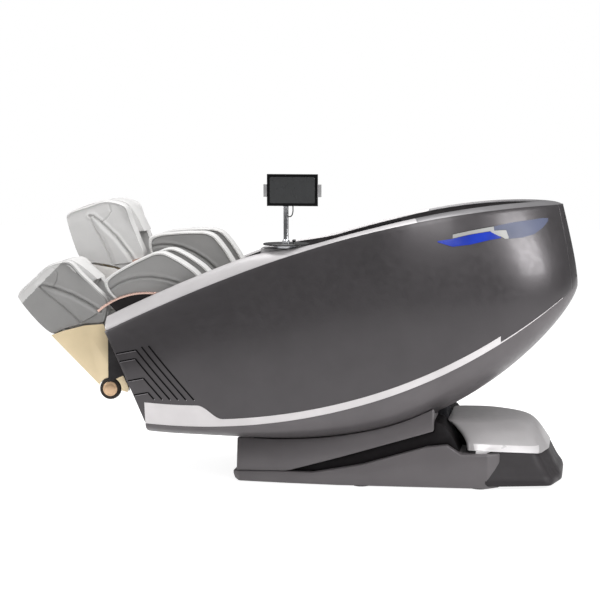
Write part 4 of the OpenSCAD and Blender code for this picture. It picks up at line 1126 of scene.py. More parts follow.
@dataclass
class OutlinePad:
    """A padded slab with a side outline in X and Z, crowned across Y."""

    outline: Outline
    y_mid: float
    half: float
    edge: float = 0.014
    crown: float = 0.004
    sides: int = 200
    face_rings: int = 34
    panel: float = 0.0
    inset: float = 0.0
    edge_turn: float = 62.0

    def loop(self) -> np.ndarray:
        """The smooth outline."""
        return smooth_loop(self.outline, self.sides)

    def frame(self) -> tuple[np.ndarray, float]:
        """Middle of the outline's box and its farthest reach."""
        pts = np.array(self.outline, float) * MM
        middle = (pts.max(0) + pts.min(0)) / 2
        return middle, float(np.linalg.norm(pts - middle, axis=1).max())

    def scale_at(self, turn: float) -> float:
        """Size of the ring at a turn of the rounded edge."""
        return 1 - self.edge / self.frame()[1] * (1 - math.cos(turn))

    def shares(self) -> np.ndarray:
        """Ring sizes over a face, from the edge to the middle, close together at the panel seam."""
        even = np.linspace(0, 1, self.face_rings + 1)[1:-1]
        if not self.panel:
            return 1 - even
        seam = self.panel + np.array([0.03, 0.018, 0.01, 0.004, -0.004, -0.01, -0.018])
        rest = [s for s in 1 - even if abs(s - self.panel) > 0.035]
        return np.array(sorted([*rest, *seam], reverse=True))

    def build(
        self,
        name: str,
        finish: Finish,
        dent: Callable[[np.ndarray], np.ndarray] | None = None,
        panel_finish: Finish | None = None,
        panel_sides: Sequence[int] = (-1, 1),
    ) -> bpy.types.Object:
        """Makes the pad.

        Args:
            name: the piece's name.
            finish: finish of the edge.
            dent: relief in metres at points of a face.
            panel_finish: finish inside the panel seam.
            panel_sides: faces that have the panel, -1 for low Y and 1 for high Y.

        Returns:
            The pad.
        """
        loop = self.loop()
        middle, _ = self.frame()
        last = math.radians(self.edge_turn)
        rings: list[np.ndarray] = []
        face_size = self.scale_at(last)

        def add(size: float, y: float, side: int, share: float) -> None:
            """Adds one ring."""
            flat = middle + (loop - middle) * size
            if dent is not None and side:
                y = y + side * dent(flat) * min(1.0, (1 - share) / 0.05)
            rings.append(at_y(flat, self.y_mid + y))

        def face(side: int, shares: Iterable[float]) -> None:
            """Adds the rings over one face."""
            for share in shares:
                rise = self.half + self.crown * (1 - share**2)
                if self.panel and side in panel_sides:
                    rise -= self.inset * float(ease((self.panel + 0.01 - share) / 0.014))
                    rise -= 0.0016 * math.exp(-(((share - self.panel) / 0.008) ** 2))
                add(face_size * share, side * rise, side, share)

        shares = self.shares()
        add(
            0.0,
            -(self.half + self.crown - (self.inset if self.panel and -1 in panel_sides else 0)),
            -1,
            0.0,
        )
        face(-1, shares[::-1])
        for turn in np.radians(np.linspace(-self.edge_turn, self.edge_turn, 11)):
            add(self.scale_at(turn), self.half * math.sin(turn) / math.sin(last), 0, 1.0)
        face(1, shares)
        add(
            0.0,
            self.half + self.crown - (self.inset if self.panel and 1 in panel_sides else 0),
            1,
            0.0,
        )
        obj = loft(name, np.array(rings), finish, poles=True, crease=60.0)
        if panel_finish is not None:
            self._paint(obj, panel_finish, panel_sides, face_size, loop, middle)
        return obj

    def _paint(
        self,
        obj: bpy.types.Object,
        finish: Finish,
        sides: Sequence[int],
        face_size: float,
        loop: np.ndarray,
        middle: np.ndarray,
    ) -> None:
        """Gives the faces inside the panel seam their own finish."""
        obj.data.materials.append(finish.material())
        turns = np.arctan2(loop[:, 1] - middle[1], loop[:, 0] - middle[0])
        reach = np.linalg.norm(loop - middle, axis=1)
        order = np.argsort(turns)
        for poly in obj.data.polygons:
            c = poly.center
            side = 1 if c.y > self.y_mid else -1
            if side not in sides or abs(c.y - self.y_mid) < self.half * 0.7:
                continue
            at = math.atan2(c.z - middle[1], c.x - middle[0])
            full = np.interp(at, turns[order], reach[order], period=2 * math.pi)
            limit = full * face_size * (self.panel or 1.0)
            if math.hypot(c.x - middle[0], c.z - middle[1]) < limit:
                poly.material_index = 1


# ------------------------------------------------------------------ lines of the pod
@dataclass(frozen=True)
class HullLines:
    """The drawn lines that the pod's shells follow."""

    half_w: float = 0.380
    bulge: float = 0.034
    bow_x: float = -1.030
    bow_z: float = 0.545
    bow_slope: float = 0.48
    cut_run: float = 0.150
    bow_tuck: float = 0.008
    rim_top_z: float = 0.990
    stern_top_x: float = 0.576
    stern_x: float = 0.632
    taper_x: float = -0.060
    crease_low_z: float = 0.212
    crease_low_x: float = -0.700
    crease_r: float = 2.047
    keel_depth: float = 0.143
    keel_bow_depth: float = 0.050
    keel_bow_x: float = -0.750
    keel_full_x: float = 0.100
    strip_h: float = 0.028
    strip_flare: float = 0.050
    strip_flare_x: float = -0.690
    strip_flare_run: float = 0.090
    band_bow: float = 0.050
    band_stern: float = 0.012
    band_rise_x: float = -0.560
    band_rise_run: float = 0.300
    side_steps: int = 18
    stern_steps: int = 14

    def crease_z(self, x: np.ndarray) -> np.ndarray:
        """Height of the crease between side and belly."""
        return (
            self.crease_low_z + self.crease_r
            - np.sqrt(self.crease_r**2 - (x - self.crease_low_x) ** 2)
        )

    def rim_z(self, x: np.ndarray) -> np.ndarray:
        """Height of the rim."""
        run = self.stern_top_x - self.bow_x
        t = np.clip((x - self.bow_x) / run, 0, 1)
        return (
            (2 * t**3 - 3 * t**2 + 1) * self.bow_z
            + (3 * t**2 - 2 * t**3) * self.rim_top_z
            + run * (t**3 - 2 * t**2 + t) * self.bow_slope
        )

    def wall_y(self, x: np.ndarray, v: np.ndarray, inset: np.ndarray | float) -> np.ndarray:
        """Half-width at a given x, at share v of the way from the crease to the rim."""
        full = self.half_w + self.bulge * (1 - ((v - 0.45) / 0.55) ** 2) - inset
        run = self.stern_at(v) - inset - self.taper_x
        u = np.clip((x - self.taper_x) / run, 0, 1)
        power = 1 + 0.5 * np.clip(v, 0, 1) ** 2
        closing = full * np.maximum(0.0, np.cos(np.arcsin(u))) ** power
        tuck = np.where(
            x < self.taper_x,
            self.bow_tuck * ((self.taper_x - x) / (self.taper_x - self.bow_x)) ** 2,
            0,
        )
        return np.where(x <= self.taper_x, full - tuck, closing)

    def stern_at(self, v: np.ndarray) -> np.ndarray:
        """X of the rearmost point at share v."""
        return self.stern_x - (self.stern_x - self.stern_top_x) * np.clip(v, 0, 1) ** 1.45

    def wall_x(self, s: np.ndarray, v: np.ndarray, inset: np.ndarray | float) -> np.ndarray:
        """X at step s along the wall, from 0 at the foot end to 32 at the head end's middle."""
        bow = self.bow_x + self.cut_run * (1 - v)
        ahead = bow + (self.taper_x - bow) * s / self.side_steps
        turn = np.clip((s - self.side_steps) / self.stern_steps, 0, 1) * math.pi / 2
        behind = self.taper_x + (self.stern_at(v) - inset - self.taper_x) * np.sin(turn)
        return np.where(s <= self.side_steps, ahead, behind)

    def wall(self, s: np.ndarray, v: np.ndarray, inset: float, side: int) -> np.ndarray:
        """Points of the wall."""
        s, v = np.broadcast_arrays(np.asarray(s, float), np.asarray(v, float))
        x = self.wall_x(s, v, inset)
        z = self.crease_z(x) + (self.rim_z(x) - self.crease_z(x)) * v
        return np.stack([x, side * self.wall_y(x, v, inset), z], axis=-1)

    def skin(self, x: np.ndarray, z: np.ndarray, inset: float, side: int) -> np.ndarray:
        """Points of the side shell at given x and height."""
        x, z = np.broadcast_arrays(np.asarray(x, float), np.asarray(z, float))
        low, top = self.crease_z(x), self.rim_z(x)
        return np.stack([x, side * self.wall_y(x, (z - low) / (top - low), inset), z], axis=-1)

    def keel(self, x: np.ndarray) -> np.ndarray:
        """Depth of the belly below the crease."""
        ahead = self.keel_bow_depth + (self.keel_depth - self.keel_bow_depth) * ease(
            (x - self.keel_bow_x) / (self.keel_full_x - self.keel_bow_x)
        )
        u = np.clip((x - self.keel_full_x) / (self.stern_x - self.keel_full_x), 0, 1)
        return np.where(x < self.keel_full_x, ahead, self.keel_depth * np.sqrt(1 - u**2))

    def belly_z(self, x: np.ndarray, y: np.ndarray) -> np.ndarray:
        """Height of the belly's outer face."""
        k = np.minimum(1.0, np.abs(y) / np.maximum(1e-6, self.wall_y(x, np.zeros_like(x), 0.0)))
        return self.crease_z(x) - self.keel(x) * np.sqrt(np.maximum(0.0, 1 - k**4))

    def strip_top(self, x: np.ndarray) -> np.ndarray:
        """Upper edge of the pale strip along the crease."""
        share = ease((x - self.strip_flare_x) / self.strip_flare_run)
        return self.crease_z(x) + self.strip_h + self.strip_flare * (1 - share)

    def band_rise(self, x: np.ndarray) -> np.ndarray:
        """Rise of the rim band's inner edge."""
        share = ease((x - self.band_rise_x) / self.band_rise_run)
        return self.band_bow + (self.band_stern - self.band_bow) * share


HULL = HullLines()
SIDES = (-1, 1)
SIDE_NAMES = {-1: "left", 1: "right"}


@dataclass
class PodShell:
    """The pod's painted outside: sides, rear, belly, strips, vent lines and lamps."""

    shell_t: float = 0.008
    panel_step: float = 30.0
    lift: float = 0.0003
    inlay_t: float = 0.0015
    strip_end: float = 24.0
    thin_end: float = 28.6
    thin_h: tuple[float, float] = (0.0052, 0.0014)
    line_w: float = 0.0046
    line_foot: tuple[float, float] = (-0.845, 0.309)
    line_pitch: float = 0.0288
    line_dir: tuple[float, float] = (-0.65, 0.76)
    line_lengths: tuple[float, ...] = (0.032, 0.100, 0.190, 0.230, 0.245, 0.250)
    lead_dir: tuple[float, float] = (-0.98, -0.2)
    lead_lengths: tuple[float, ...] = (0.052, 0.058, 0.058, 0.074)
    # Offset, width and thickness of the painted highlight line beside each vent line.
    highlight_offset: tuple[float, float] = (0.0026, -0.0022)
    highlight_w: float = 0.0026
    highlight_t: float = 0.0009
    screw_step: float = 31.2
    screw_shares: tuple[float, ...] = (0.12, 0.86, 0.5)
    screw: Outline = ((0, -3), (7, -3), (7, 0.4), (6.4, 1.2), (4.2, 1.6), (3.6, 0.7), (0, 0.7))
    lamp: Rows = (
        (0.153, 80, 76), (0.204, 104, 77), (0.263, 106, 72), (0.330, 99, 70), (0.368, 97, 94),
    )
    lens: Rows = (
        (0.344, 67, 54), (0.384, 70, 50), (0.396, 102, 48), (0.440, 103, 46),
        (0.480, 95, 44), (0.508, 76, 42), (0.526, 54, 44),
    )
    bezel: Rows = (
        (0.204, 75.4, 62), (0.263, 70.4, 58), (0.330, 68.4, 54.5), (0.342, 80, 54),
        (0.344, 82, 68.5), (0.370, 92.5, 70.4), (0.381, 101, 71.6), (0.3935, 102, 74),
    )
    lamp_top: Rows = (
        (0.203, 62, 60.5), (0.263, 58, 56.4), (0.330, 54.5, 52.8), (0.343, 54, 52.2),
    )

    def build(self) -> None:
        """Builds and fits every piece of the shell."""
        for side in SIDES:
            self._side(side)
        self._rear()
        self._belly()
        self._strips()
        self._vents()
        self._lamps()

    def _side(self, side: int) -> None:
        """One side shell."""
        s, v = np.linspace(0, self.panel_step, 151)[:, None], np.linspace(0, 1, 37)[None, :]
        name = f"side_shell_{SIDE_NAMES[side]}"
        obj = slab(
            f"{name}_painted",
            HULL.wall(s, v, 0.0, side),
            HULL.wall(s, v, self.shell_t, side),
            SHELL_PAINT,
            0.0016,
        )
        fit(obj, "pod", [name])

    def _rear(self) -> None:
        """The panel round the head end, with its screws."""
        v = np.linspace(0, 1, 37)
        steps = np.linspace(self.panel_step, 32, 17)
        fan = [(s, -1) for s in steps] + [(s, 1) for s in steps[-2::-1]]

        def skin(inset: float) -> np.ndarray:
            """The panel's points at one depth."""
            return np.array([HULL.wall(np.full_like(v, s), v, inset, side) for s, side in fan])

        obj = slab("rear_panel_painted", skin(0.0), skin(self.shell_t), SHELL_PAINT, 0.0012)
        fit(obj, "pod", ["rear_panel"])
        parts = []
        s = self.screw_step
        for share, side in ((share, side) for share in self.screw_shares for side in SIDES):
            spot = HULL.wall(
                np.array([s, s + 0.1, s]), np.array([share, share, share + 0.02]), 0.0, side
            )
            across, upward = spot[1] - spot[0], spot[2] - spot[0]
            out = np.cross(across, upward)
            out = out / np.linalg.norm(out) * (1 if out[0] > 0 else -1)
            turn = Vector(out).to_track_quat("Z", "Y").to_matrix().to_4x4()
            place = Matrix.Translation(Vector(spot[0])) @ turn
            parts.append(revolve("screw", self.screw, place, KNOB_BLACK, 24))
        screws = join("rear_screws", parts)
        smooth(screws)
        fit(screws, "pod")

    def _belly(self) -> None:
        """The belly pan."""
        s = np.linspace(0, 31.6, 159)
        k = np.sin(np.linspace(-1, 1, 57) * math.pi / 2)
        x = HULL.wall_x(s, np.zeros_like(s), 0.0)[:, None]
        w = HULL.wall_y(x, np.zeros_like(x), 0.0)
        bend = np.sqrt(np.maximum(0.0, 1 - k**4))[None, :]
        keel = HULL.keel(x)
        thin_w, thin_d = np.minimum(self.shell_t, 0.4 * w), np.minimum(self.shell_t, 0.5 * keel)
        full = np.broadcast_to(x, (len(s), len(k)))
        outer = np.stack([full, w * k, HULL.crease_z(x) - keel * bend], axis=-1)
        inner = np.stack(
            [full, (w - thin_w) * k, HULL.crease_z(x) - (keel - thin_d) * bend], axis=-1
        )
        obj = slab("belly_pan_painted", outer, inner, BELLY_PAINT)
        fit(obj, "pod", ["belly_pan"])

    def _strips(self) -> None:
        """The pale strips along the crease."""
        parts = []
        s = np.linspace(0, self.strip_end, 145)
        x = HULL.wall_x(s, np.zeros_like(s), 0.0)[:, None]
        low = HULL.crease_z(x) + 0.001
        z = low + (HULL.strip_top(x) - low) * np.linspace(0, 1, 7)[None, :]
        for side in SIDES:
            front = HULL.skin(x, z, -self.lift - self.inlay_t, side)
            back = HULL.skin(x, z, -self.lift, side)
            parts.append(slab("strip", front, back, STRIP_PAINT, 0.0006))
            thin_s = np.linspace(self.strip_end, self.thin_end, 30)
            thin_x = HULL.wall_x(thin_s, np.zeros_like(thin_s), 0.0)[:, None]
            base = HULL.crease_z(thin_x) + 0.001
            thin_z = base + np.linspace(*self.thin_h, 30)[:, None] * np.linspace(0, 1, 3)[None, :]
            outer = HULL.skin(thin_x, thin_z, -self.lift - 0.0012, side)
            parts.append(
                slab("line", outer, HULL.skin(thin_x, thin_z, -self.lift, side), STRIP_PAINT)
            )
        fit(join("bottom_strips_painted", parts), "pod", ["bottom_strips"])

    def _line(
        self, a: np.ndarray, b: np.ndarray, side: int, width: float, proud: float, finish: Finish
    ) -> bpy.types.Object:
        """A thin line on the side shell from a to b, each an x and a height."""
        way = (b - a) / np.linalg.norm(b - a)
        across = np.array([-way[1], way[0]]) * width / 2
        t = np.linspace(0, 1, max(3, int(np.linalg.norm(b - a) / 0.012)))[:, None]
        k = np.linspace(-1, 1, 3)[None, :]
        x = a[0] + (b - a)[0] * t + across[0] * k
        z = a[1] + (b - a)[1] * t + across[1] * k
        return slab(
            "line",
            HULL.skin(x, z, -self.lift - proud, side),
            HULL.skin(x, z, -self.lift, side),
            finish,
        )

    def _vents(self) -> None:
        """Dark vent lines, each with a painted highlight line below it, four of them bent forward.
        """
        dark, highlights = [], []
        way, lead = np.array(self.line_dir), np.array(self.lead_dir)
        offset = np.array(self.highlight_offset)
        for side in SIDES:
            for k, length in enumerate(self.line_lengths):
                x0 = self.line_foot[0] + k * self.line_pitch
                low = max(self.line_foot[1], float(HULL.strip_top(np.array(x0))) + 0.006)
                foot = np.array([x0, low])
                bend = foot + way * length
                runs = [(foot, bend)]
                if k < len(self.lead_lengths):
                    runs.append((bend + lead * 0.001, bend + lead * self.lead_lengths[k]))
                for a, b in runs:
                    dark.append(self._line(a, b, side, self.line_w, self.inlay_t, LINE_PAINT))
                    # Painted highlight: a pale thin line beside each dark line, where the groove's
                    # lower edge would catch the light.
                    a, b = a + offset, b + offset
                    highlights.append(self._line(a, b, side, self.highlight_w, self.highlight_t, LINE_HIGHLIGHT))
        lines = join("vent_lines_painted", dark)
        fit(lines, "pod", ["vent_lines"])
        fit(join("vent_line_painted_highlights", highlights), "pod")

    def _patch(
        self, rows: Rows, side: int, proud: float, finish: Finish, steps: int = 4
    ) -> bpy.types.Object:
        """A patch on the side shell between two lines, each given below the rim in millimetres."""
        table = np.array(rows)
        at = np.unique(
            np.concatenate(
                [np.linspace(a, b, steps + 1) for a, b in zip(table[:-1, 0], table[1:, 0])]
            )
        )
        low = HULL.rim_z(at) - np.interp(at, table[:, 0], table[:, 1]) * MM
        top = HULL.rim_z(at) - np.interp(at, table[:, 0], table[:, 2]) * MM
        z = low[:, None] + (top - low)[:, None] * np.linspace(0, 1, 9)[None, :]
        x = np.broadcast_to(at[:, None], z.shape)
        lift = 0.0005
        return slab(
            "patch", HULL.skin(x, z, -lift - proud, side), HULL.skin(x, z, -lift, side), finish
        )

    def _lamps(self) -> None:
        """The lit lamps, their lenses and the pale bezels between them."""
        lamps, lenses, bezels, outlines = [], [], [], []
        for side in SIDES:
            lamps.append(self._patch(self.lamp, side, 0.0016, LAMP_BLUE, 6))
            lenses.append(self._patch(self.lens, side, 0.0015, LENS_GLASS, 6))
            bezels.append(self._patch(self.bezel, side, 0.0009, BEZEL_PALE))
            outlines.append(self._patch(self.lamp_top, side, 0.0013, LINE_PAINT))
        for parts, name, finish, nodes in (
            (lamps, "blue_lamps_lit", LAMP_BLUE, ["blue_lamps"]),
            (lenses, "lamp_lenses_smoked", LENS_GLASS, ["lamp_lenses"]),
            (bezels, "lamp_bezels", BEZEL_PALE, []),
            (outlines, "lamp_outlines", LINE_PAINT, []),
        ):
            fit(join(name, parts), "pod", nodes)


@dataclass
class PodRim:
    """The rim bands, the liners inside them and the caps at the foot end."""

    band_w: float = 0.056
    band_t: float = 0.008
    split_step: float = 20.0
    nose: float = 0.014
    liner_inset: float = 0.058
    liner_t: float = 0.004
    liner_drop: float = 0.230
    gloss_steps: tuple[float, float] = (13.2, 18.4)
    gloss_shares: tuple[float, float] = (0.62, 0.985)
    gloss_lean: float = 1.1
    gloss_t: float = 0.0025
    cap_inset: float = 0.0083
    cap_t: float = 0.006

    def build(self) -> None:
        """Builds and fits the rim's pieces."""
        for side in SIDES:
            name = f"rim_band_{SIDE_NAMES[side]}"
            obj = self._band(f"{name}_painted", 0.0, self.split_step, side, RIM_PAINT)
            fit(obj, "pod", [name])
        rear = [self._band("rear", self.split_step, 32.0, side, RIM_DARK_PAINT) for side in SIDES]
        fit(join("rim_rear_painted", rear), "pod", ["rim_rear"])
        self._liners()
        self._caps()

    def _skin(self, s: np.ndarray, k: np.ndarray, t: float, side: int) -> np.ndarray:
        """Points of the band at steps s and shares k across it, at depth t."""
        x0 = HULL.wall_x(s, np.ones_like(s), 0.0)
        inset = self.band_w * k + t
        x = HULL.wall_x(s, np.ones_like(s), inset)
        lift = HULL.band_rise(x0) * (1 - (1 - k) ** 2.2) - t * np.minimum(1.0, k / 0.08)
        near = np.clip((0.16 - k) / 0.16, 0, 1) + np.clip((k - 0.84) / 0.16, 0, 1)
        x = x + self.nose * (1 - np.sqrt(1 - near**2)) * np.clip(1 - s, 0, 1)
        return np.stack(
            [x, side * HULL.wall_y(x, np.ones_like(s), inset), HULL.rim_z(x0) + lift], axis=-1
        )

    def _band(
        self, name: str, start: float, end: float, side: int, finish: Finish
    ) -> bpy.types.Object:
        """One stretch of the rim band."""
        fine = np.linspace(0, 1, 9)[:-1] if start == 0 else np.array([0.0])
        steps = np.concatenate(
            [
                start + fine,
                np.linspace(start + (1 if start == 0 else 0.12), end, int((end - start) * 7)),
            ]
        )
        s, k = np.meshgrid(steps, np.linspace(0, 1, 19), indexing="ij")
        return slab(
            name, self._skin(s, k, 0.0, side), self._skin(s, k, self.band_t, side), finish, 0.0018
        )

    def _liner(self, s: np.ndarray, v: np.ndarray, inset: float, side: int) -> np.ndarray:
        """Points of the liner at steps s and shares v of its height."""
        x0 = HULL.wall_x(s, np.ones_like(s), 0.0)
        x = HULL.wall_x(s, np.ones_like(s), inset)
        top = HULL.rim_z(x0) + HULL.band_rise(x0) * 0.957 - self.band_t - 0.0005
        return np.stack(
            [x, side * HULL.wall_y(x, np.ones_like(s), inset), top - self.liner_drop * (1 - v)],
            axis=-1,
        )

    def _liners(self) -> None:
        """Dark liners down to the seat, with a gloss panel beside the armrest."""
        liners, panels = [], []
        for side in SIDES:
            s, v = np.meshgrid(np.linspace(0, 29, 117), np.linspace(0, 1, 13), indexing="ij")
            front = self._liner(s, v, self.liner_inset + self.liner_t, side)
            liners.append(
                slab("liner", front, self._liner(s, v, self.liner_inset, side), LINER_BLACK)
            )
            steps, shares = np.linspace(*self.gloss_steps, 41), np.linspace(*self.gloss_shares, 11)
            s, v = np.meshgrid(steps, shares, indexing="ij")
            s = s - (1 - v) * self.gloss_lean
            proud = self.liner_inset + self.liner_t + 0.0004
            panels.append(
                slab(
                    "gloss",
                    self._liner(s, v, proud + self.gloss_t, side),
                    self._liner(s, v, proud, side),
                    GLOSS_BLACK,
                    0.0012,
                )
            )
        fit(join("liners_woven", liners), "pod", ["liners"])
        fit(join("liner_gloss_panels", panels), "pod")

    def _caps(self) -> None:
        """The dark caps at the front of both sides."""
        parts = []
        v, k = np.meshgrid(np.linspace(0.01, 0.99, 25), np.linspace(0, 1, 7), indexing="ij")
        inset = self.cap_inset + (self.band_w - self.band_t - self.cap_inset) * k
        for side in SIDES:
            def skin(back: float) -> np.ndarray:
                """The cap's points, set back from the cut."""
                x = HULL.bow_x + HULL.cut_run * (1 - v) + back
                z = HULL.crease_z(x) + (HULL.rim_z(x) - HULL.crease_z(x)) * v
                return np.stack([x, side * HULL.wall_y(x, v, inset), z], axis=-1)

            parts.append(slab("cap", skin(0.0), skin(self.cap_t), RIM_DARK_PAINT, 0.0012))
        fit(join("bow_caps_painted", parts), "pod", ["bow_caps"])


# ------------------------------------------------------------------ base
@dataclass
class Base:
    """The low moulded base with its cradle, recess, rear cover and bright chamfer."""

    front_x: float = -0.585
    rear_x: float = 0.586
    half_w: float = 0.335
    front_half_w: float = 0.285
    bow_run: float = 0.5
    gap_half_w: float = 0.118
    rail_insets: tuple[float, float] = (0.026, 0.008)
    cradle_gap: float = 0.003
    cradle_end: float = 0.140
    cradle_low: Outline = ((-585, 40.3), (-387, 46.3), (-177, 108), (162, 210))
    core_low: Outline = ((150, 240), (184, 214), (200, 190), (230, 128))
    tail_x: float = 0.330
    tail_half_w: float = 0.092
    hollow_x: tuple[float, float] = (0.15, 0.44)
    hollow_z: tuple[float, float] = (-0.001, 0.184)
    hump: tuple[tuple[float, float, Outline], ...] = (
        (0.1345, 0.020, ((256, 299), (304, 301), (510, 246), (538, 112))),
        (0.1575, 0.034, ((250, 289), (312, 291), (496, 236), (524, 108))),
        (0.1780, 0.045, ((236, 270), (320, 272), (480, 219), (505, 102))),
        (0.1980, 0.050, ((214, 246), (327, 248), (456, 196), (484, 94))),
        (0.2130, 0.050, ((194, 222), (323, 224), (428, 166), (464, 84))),
        (0.2220, 0.050, ((178, 202), (314, 205), (396, 140), (430, 70))),
        (0.2256, 0.040, ((190, 172), (296, 174), (348, 112), (374, 60))),
    )
    tail: tuple[tuple[float, float, float, float], ...] = (
        (0.0122, 6, 4, 0.020), (0.0150, 2, 1, 0.024), (0.0220, 0, 0, 0.028),
        (0.0700, 19, 22, 0.030), (0.1180, 38, 43, 0.030), (0.1280, 42, 48, 0.030),
        (0.1340, 46, 51, 0.030),
    )
    band_levels: tuple[float, float] = (0.1350, 0.1568)
    band_run: tuple[float, float] = (0.280, 0.505)
    band_half_w: float = 0.2

    def build(self, frame: dict) -> None:
        """Builds and fits the base."""
        fit_rounded(frame, "base_plinth", "base", BASE_GREY, 0.004, 22.0, 3)
        self._cradle()
        self._cover()
        fit_rounded(frame, "base_trim", "base", TRIM_SILVER, 0.0015)
        core = rounded_copy(frame, "base_core", RECESS_BLACK, 0.002)
        low = np.array(self.core_low) / 1000
        for vertex in core.data.vertices:
            if vertex.co.x > low[0, 0]:
                limit = float(np.interp(vertex.co.x, low[:, 0], low[:, 1]))
                vertex.co.z = min(vertex.co.z, limit)
        fit(core, "base", ["base_core"])
        fit_rounded(frame, "base_frame", "base", FRAME_STEEL, 0.0012)
        for node, finish in (
            ("base_feet", FOOT_RUBBER), ("power_inlet", KNOB_BLACK), ("hinge_pin", PLAIN_STEEL),
        ):
            repaint(frame, node, finish)

    def wall_at(self, x: np.ndarray) -> np.ndarray:
        """Half-width of the base."""
        turn = np.clip((x - self.front_x) / self.bow_run, 0, 1) * math.pi / 2
        swell_out = self.front_half_w + (self.half_w - self.front_half_w) * np.sin(turn)
        slim = self.tail_half_w - self.half_w
        tail = self.half_w + slim * (x - self.tail_x) / (self.rear_x - self.tail_x)
        return np.where(x < self.tail_x, swell_out, tail)

    def _cradle(self) -> None:
        """The two cradle rails that follow the belly."""
        xs = np.linspace(self.front_x + 0.014, self.cradle_end, 73)
        line = np.array(self.cradle_low) * MM
        low_z = np.interp(xs, line[:, 0], line[:, 1])
        share = np.linspace(0, 1, 25)
        parts = []
        for side in SIDES:
            def row(inset: float) -> np.ndarray:
                """Distances from the middle, from the gap to the wall."""
                return (
                    self.gap_half_w
                    + (self.wall_at(xs)[:, None] - inset - self.gap_half_w) * share[None, :]
                )

            x = np.broadcast_to(xs[:, None], (len(xs), len(share)))
            y_top, y_low = (row(inset) for inset in self.rail_insets)
            top = np.stack([x, side * y_top, HULL.belly_z(x, y_top) - self.cradle_gap], axis=-1)
            low = np.stack([x, side * y_low, np.broadcast_to(low_z[:, None], x.shape)], axis=-1)
            parts.append(slab("cradle", top, low, BASE_GREY, 0.005))
        fit(join("base_cradle_moulded", parts), "base", ["base_cradle"])

    def _cover(self) -> None:
        """The rounded hump and the tail below it."""
        hump = self._between(self._plan_rings(self.hump), 6)
        foot, middle = hump[0].mean(0), hump[-1].mean(0)
        rise = np.array([0, 0, 0.0004])
        cap = [middle + (hump[-1] - middle) * k + rise * (1 - k) for k in (0.75, 0.5, 0.25, 0.0)]
        rings = np.concatenate([[np.broadcast_to(foot, hump[0].shape)], hump, cap])
        top = loft("hump", rings, COVER_GREY, poles=True, crease=50)
        self._bright_band(top)
        wide = float(self.wall_at(np.array(self.tail_x))) * 1000 + 1.5
        low_levels = [
            (z, radius, self._tail_plan(z, lean, run, wide)) for z, lean, run, radius in self.tail
        ]
        tail = loft("tail", self._between(self._plan_rings(low_levels), 3), TAIL_GREY, crease=50)
        ys = (-self.gap_half_w, self.gap_half_w)
        cut = mesh_object(
            "cutter",
            np.array([(x, y, z) for x in self.hollow_x for y in ys for z in self.hollow_z]),
            [(0, 1, 3, 2), (4, 6, 7, 5), (0, 4, 5, 1), (2, 3, 7, 6), (0, 2, 6, 4), (1, 5, 7, 3)],
            RECESS_BLACK,
        )
        heal(cut)
        for part in (top, tail):
            carve(part, cut)
            smooth(part, 40.0)
        discard(cut)
        fit(join("base_cover_moulded", [top, tail]), "base", ["base_cover"])

    def _bright_band(self, top: bpy.types.Object) -> None:
        """Paints the bright chamfer on the hump's lower edge."""
        top.data.materials.append(TRIM_SILVER.material())
        (low, high), (start, end) = self.band_levels, self.band_run
        for poly in top.data.polygons:
            spot = poly.center
            level = spot.z + self.fall(spot.x, spot.z)
            if low < level < high and start < spot.x < end and abs(spot.y) > self.band_half_w:
                poly.material_index = 1

    @staticmethod
    def _tail_plan(z: float, lean: float, run: float, wide: float) -> Outline:
        """Half the tail's plan at one height, leaning in from its widest."""
        return (
            (334 - 84 * z / 0.134, wide - lean),
            (334, wide - lean),
            (552 - 1.1 * run, 286 - 0.8 * lean),
            (586 - run, 140 - 0.4 * lean),
        )

    @staticmethod
    def fall(x: float | np.ndarray, z: float) -> float | np.ndarray:
        """How much lower the cover's lower rings lie towards the tail."""
        along = np.clip((x - 0.285) / 0.23, 0, 1)
        below_top = float(np.clip((0.19 - z) / 0.03, 0, 1))
        above_foot = float(np.clip((z - 0.03) / 0.08, 0, 1))
        return 0.014 * along * below_top * above_foot

    def _plan_rings(self, levels: Sequence[tuple[float, float, Outline]]) -> np.ndarray:
        """Rounded rings from a height, a rounding and half a plan outline each."""
        rings = []
        for z, radius, half in levels:
            flat = rounded_polygon([*half, *[(x, -y) for x, y in half[::-1]]], radius, 240)
            rings.append(np.column_stack([flat, z - self.fall(flat[:, 0], z)]))
        return np.array(rings)

    @staticmethod
    def _between(rings: np.ndarray, steps: int) -> np.ndarray:
        """Adds smooth rings between the given ones, eased over their distance."""
        gaps = np.linalg.norm(np.diff(rings, axis=0), axis=2).mean(1)
        slope = np.gradient(rings, np.concatenate([[0.0], np.cumsum(gaps)]), axis=0)
        out = []
        for i, span in enumerate(gaps):
            for t in np.linspace(0, 1, steps, endpoint=False):
                a, b = (1 + 2 * t) * (1 - t) ** 2, t * t * (3 - 2 * t)
                c, d = t * (1 - t) ** 2, t * t * (t - 1)
                out.append(
                    a * rings[i] + b * rings[i + 1] + span * (c * slope[i] + d * slope[i + 1])
                )
        return np.array([*out, rings[-1]])


@dataclass
class Mechanism:
    """The steel parts inside: recline actuator, frames, rails, carriage and rollers."""

    steel: tuple[str, ...] = (
        "recline_rod", "massage_rails", "foot_slides_left", "foot_slides_right",
    )
    ivory: tuple[str, ...] = ("knead_rollers", "foot_rollers_left", "foot_rollers_right")
    coated: tuple[tuple[str, str], ...] = (
        ("recline_motor", "recline_motor"),
        ("pod_lugs", "pod"),
        ("pod_frame", "pod"),
        ("seat_pan", "pod"),
        ("back_frame", "pod"),
        ("massage_carriage", "massage_carriage"),
    )

    def build(self, frame: dict) -> None:
        """Dresses the mechanism."""
        for node in self.steel:
            repaint(frame, node, PLAIN_STEEL)
        for node in self.ivory:
            repaint(frame, node, ROLLER_IVORY)
        for node, body in self.coated:
            finish = LEG_BLACK if node == "recline_motor" else FRAME_STEEL
            fit_rounded(frame, node, body, finish, 0.001)


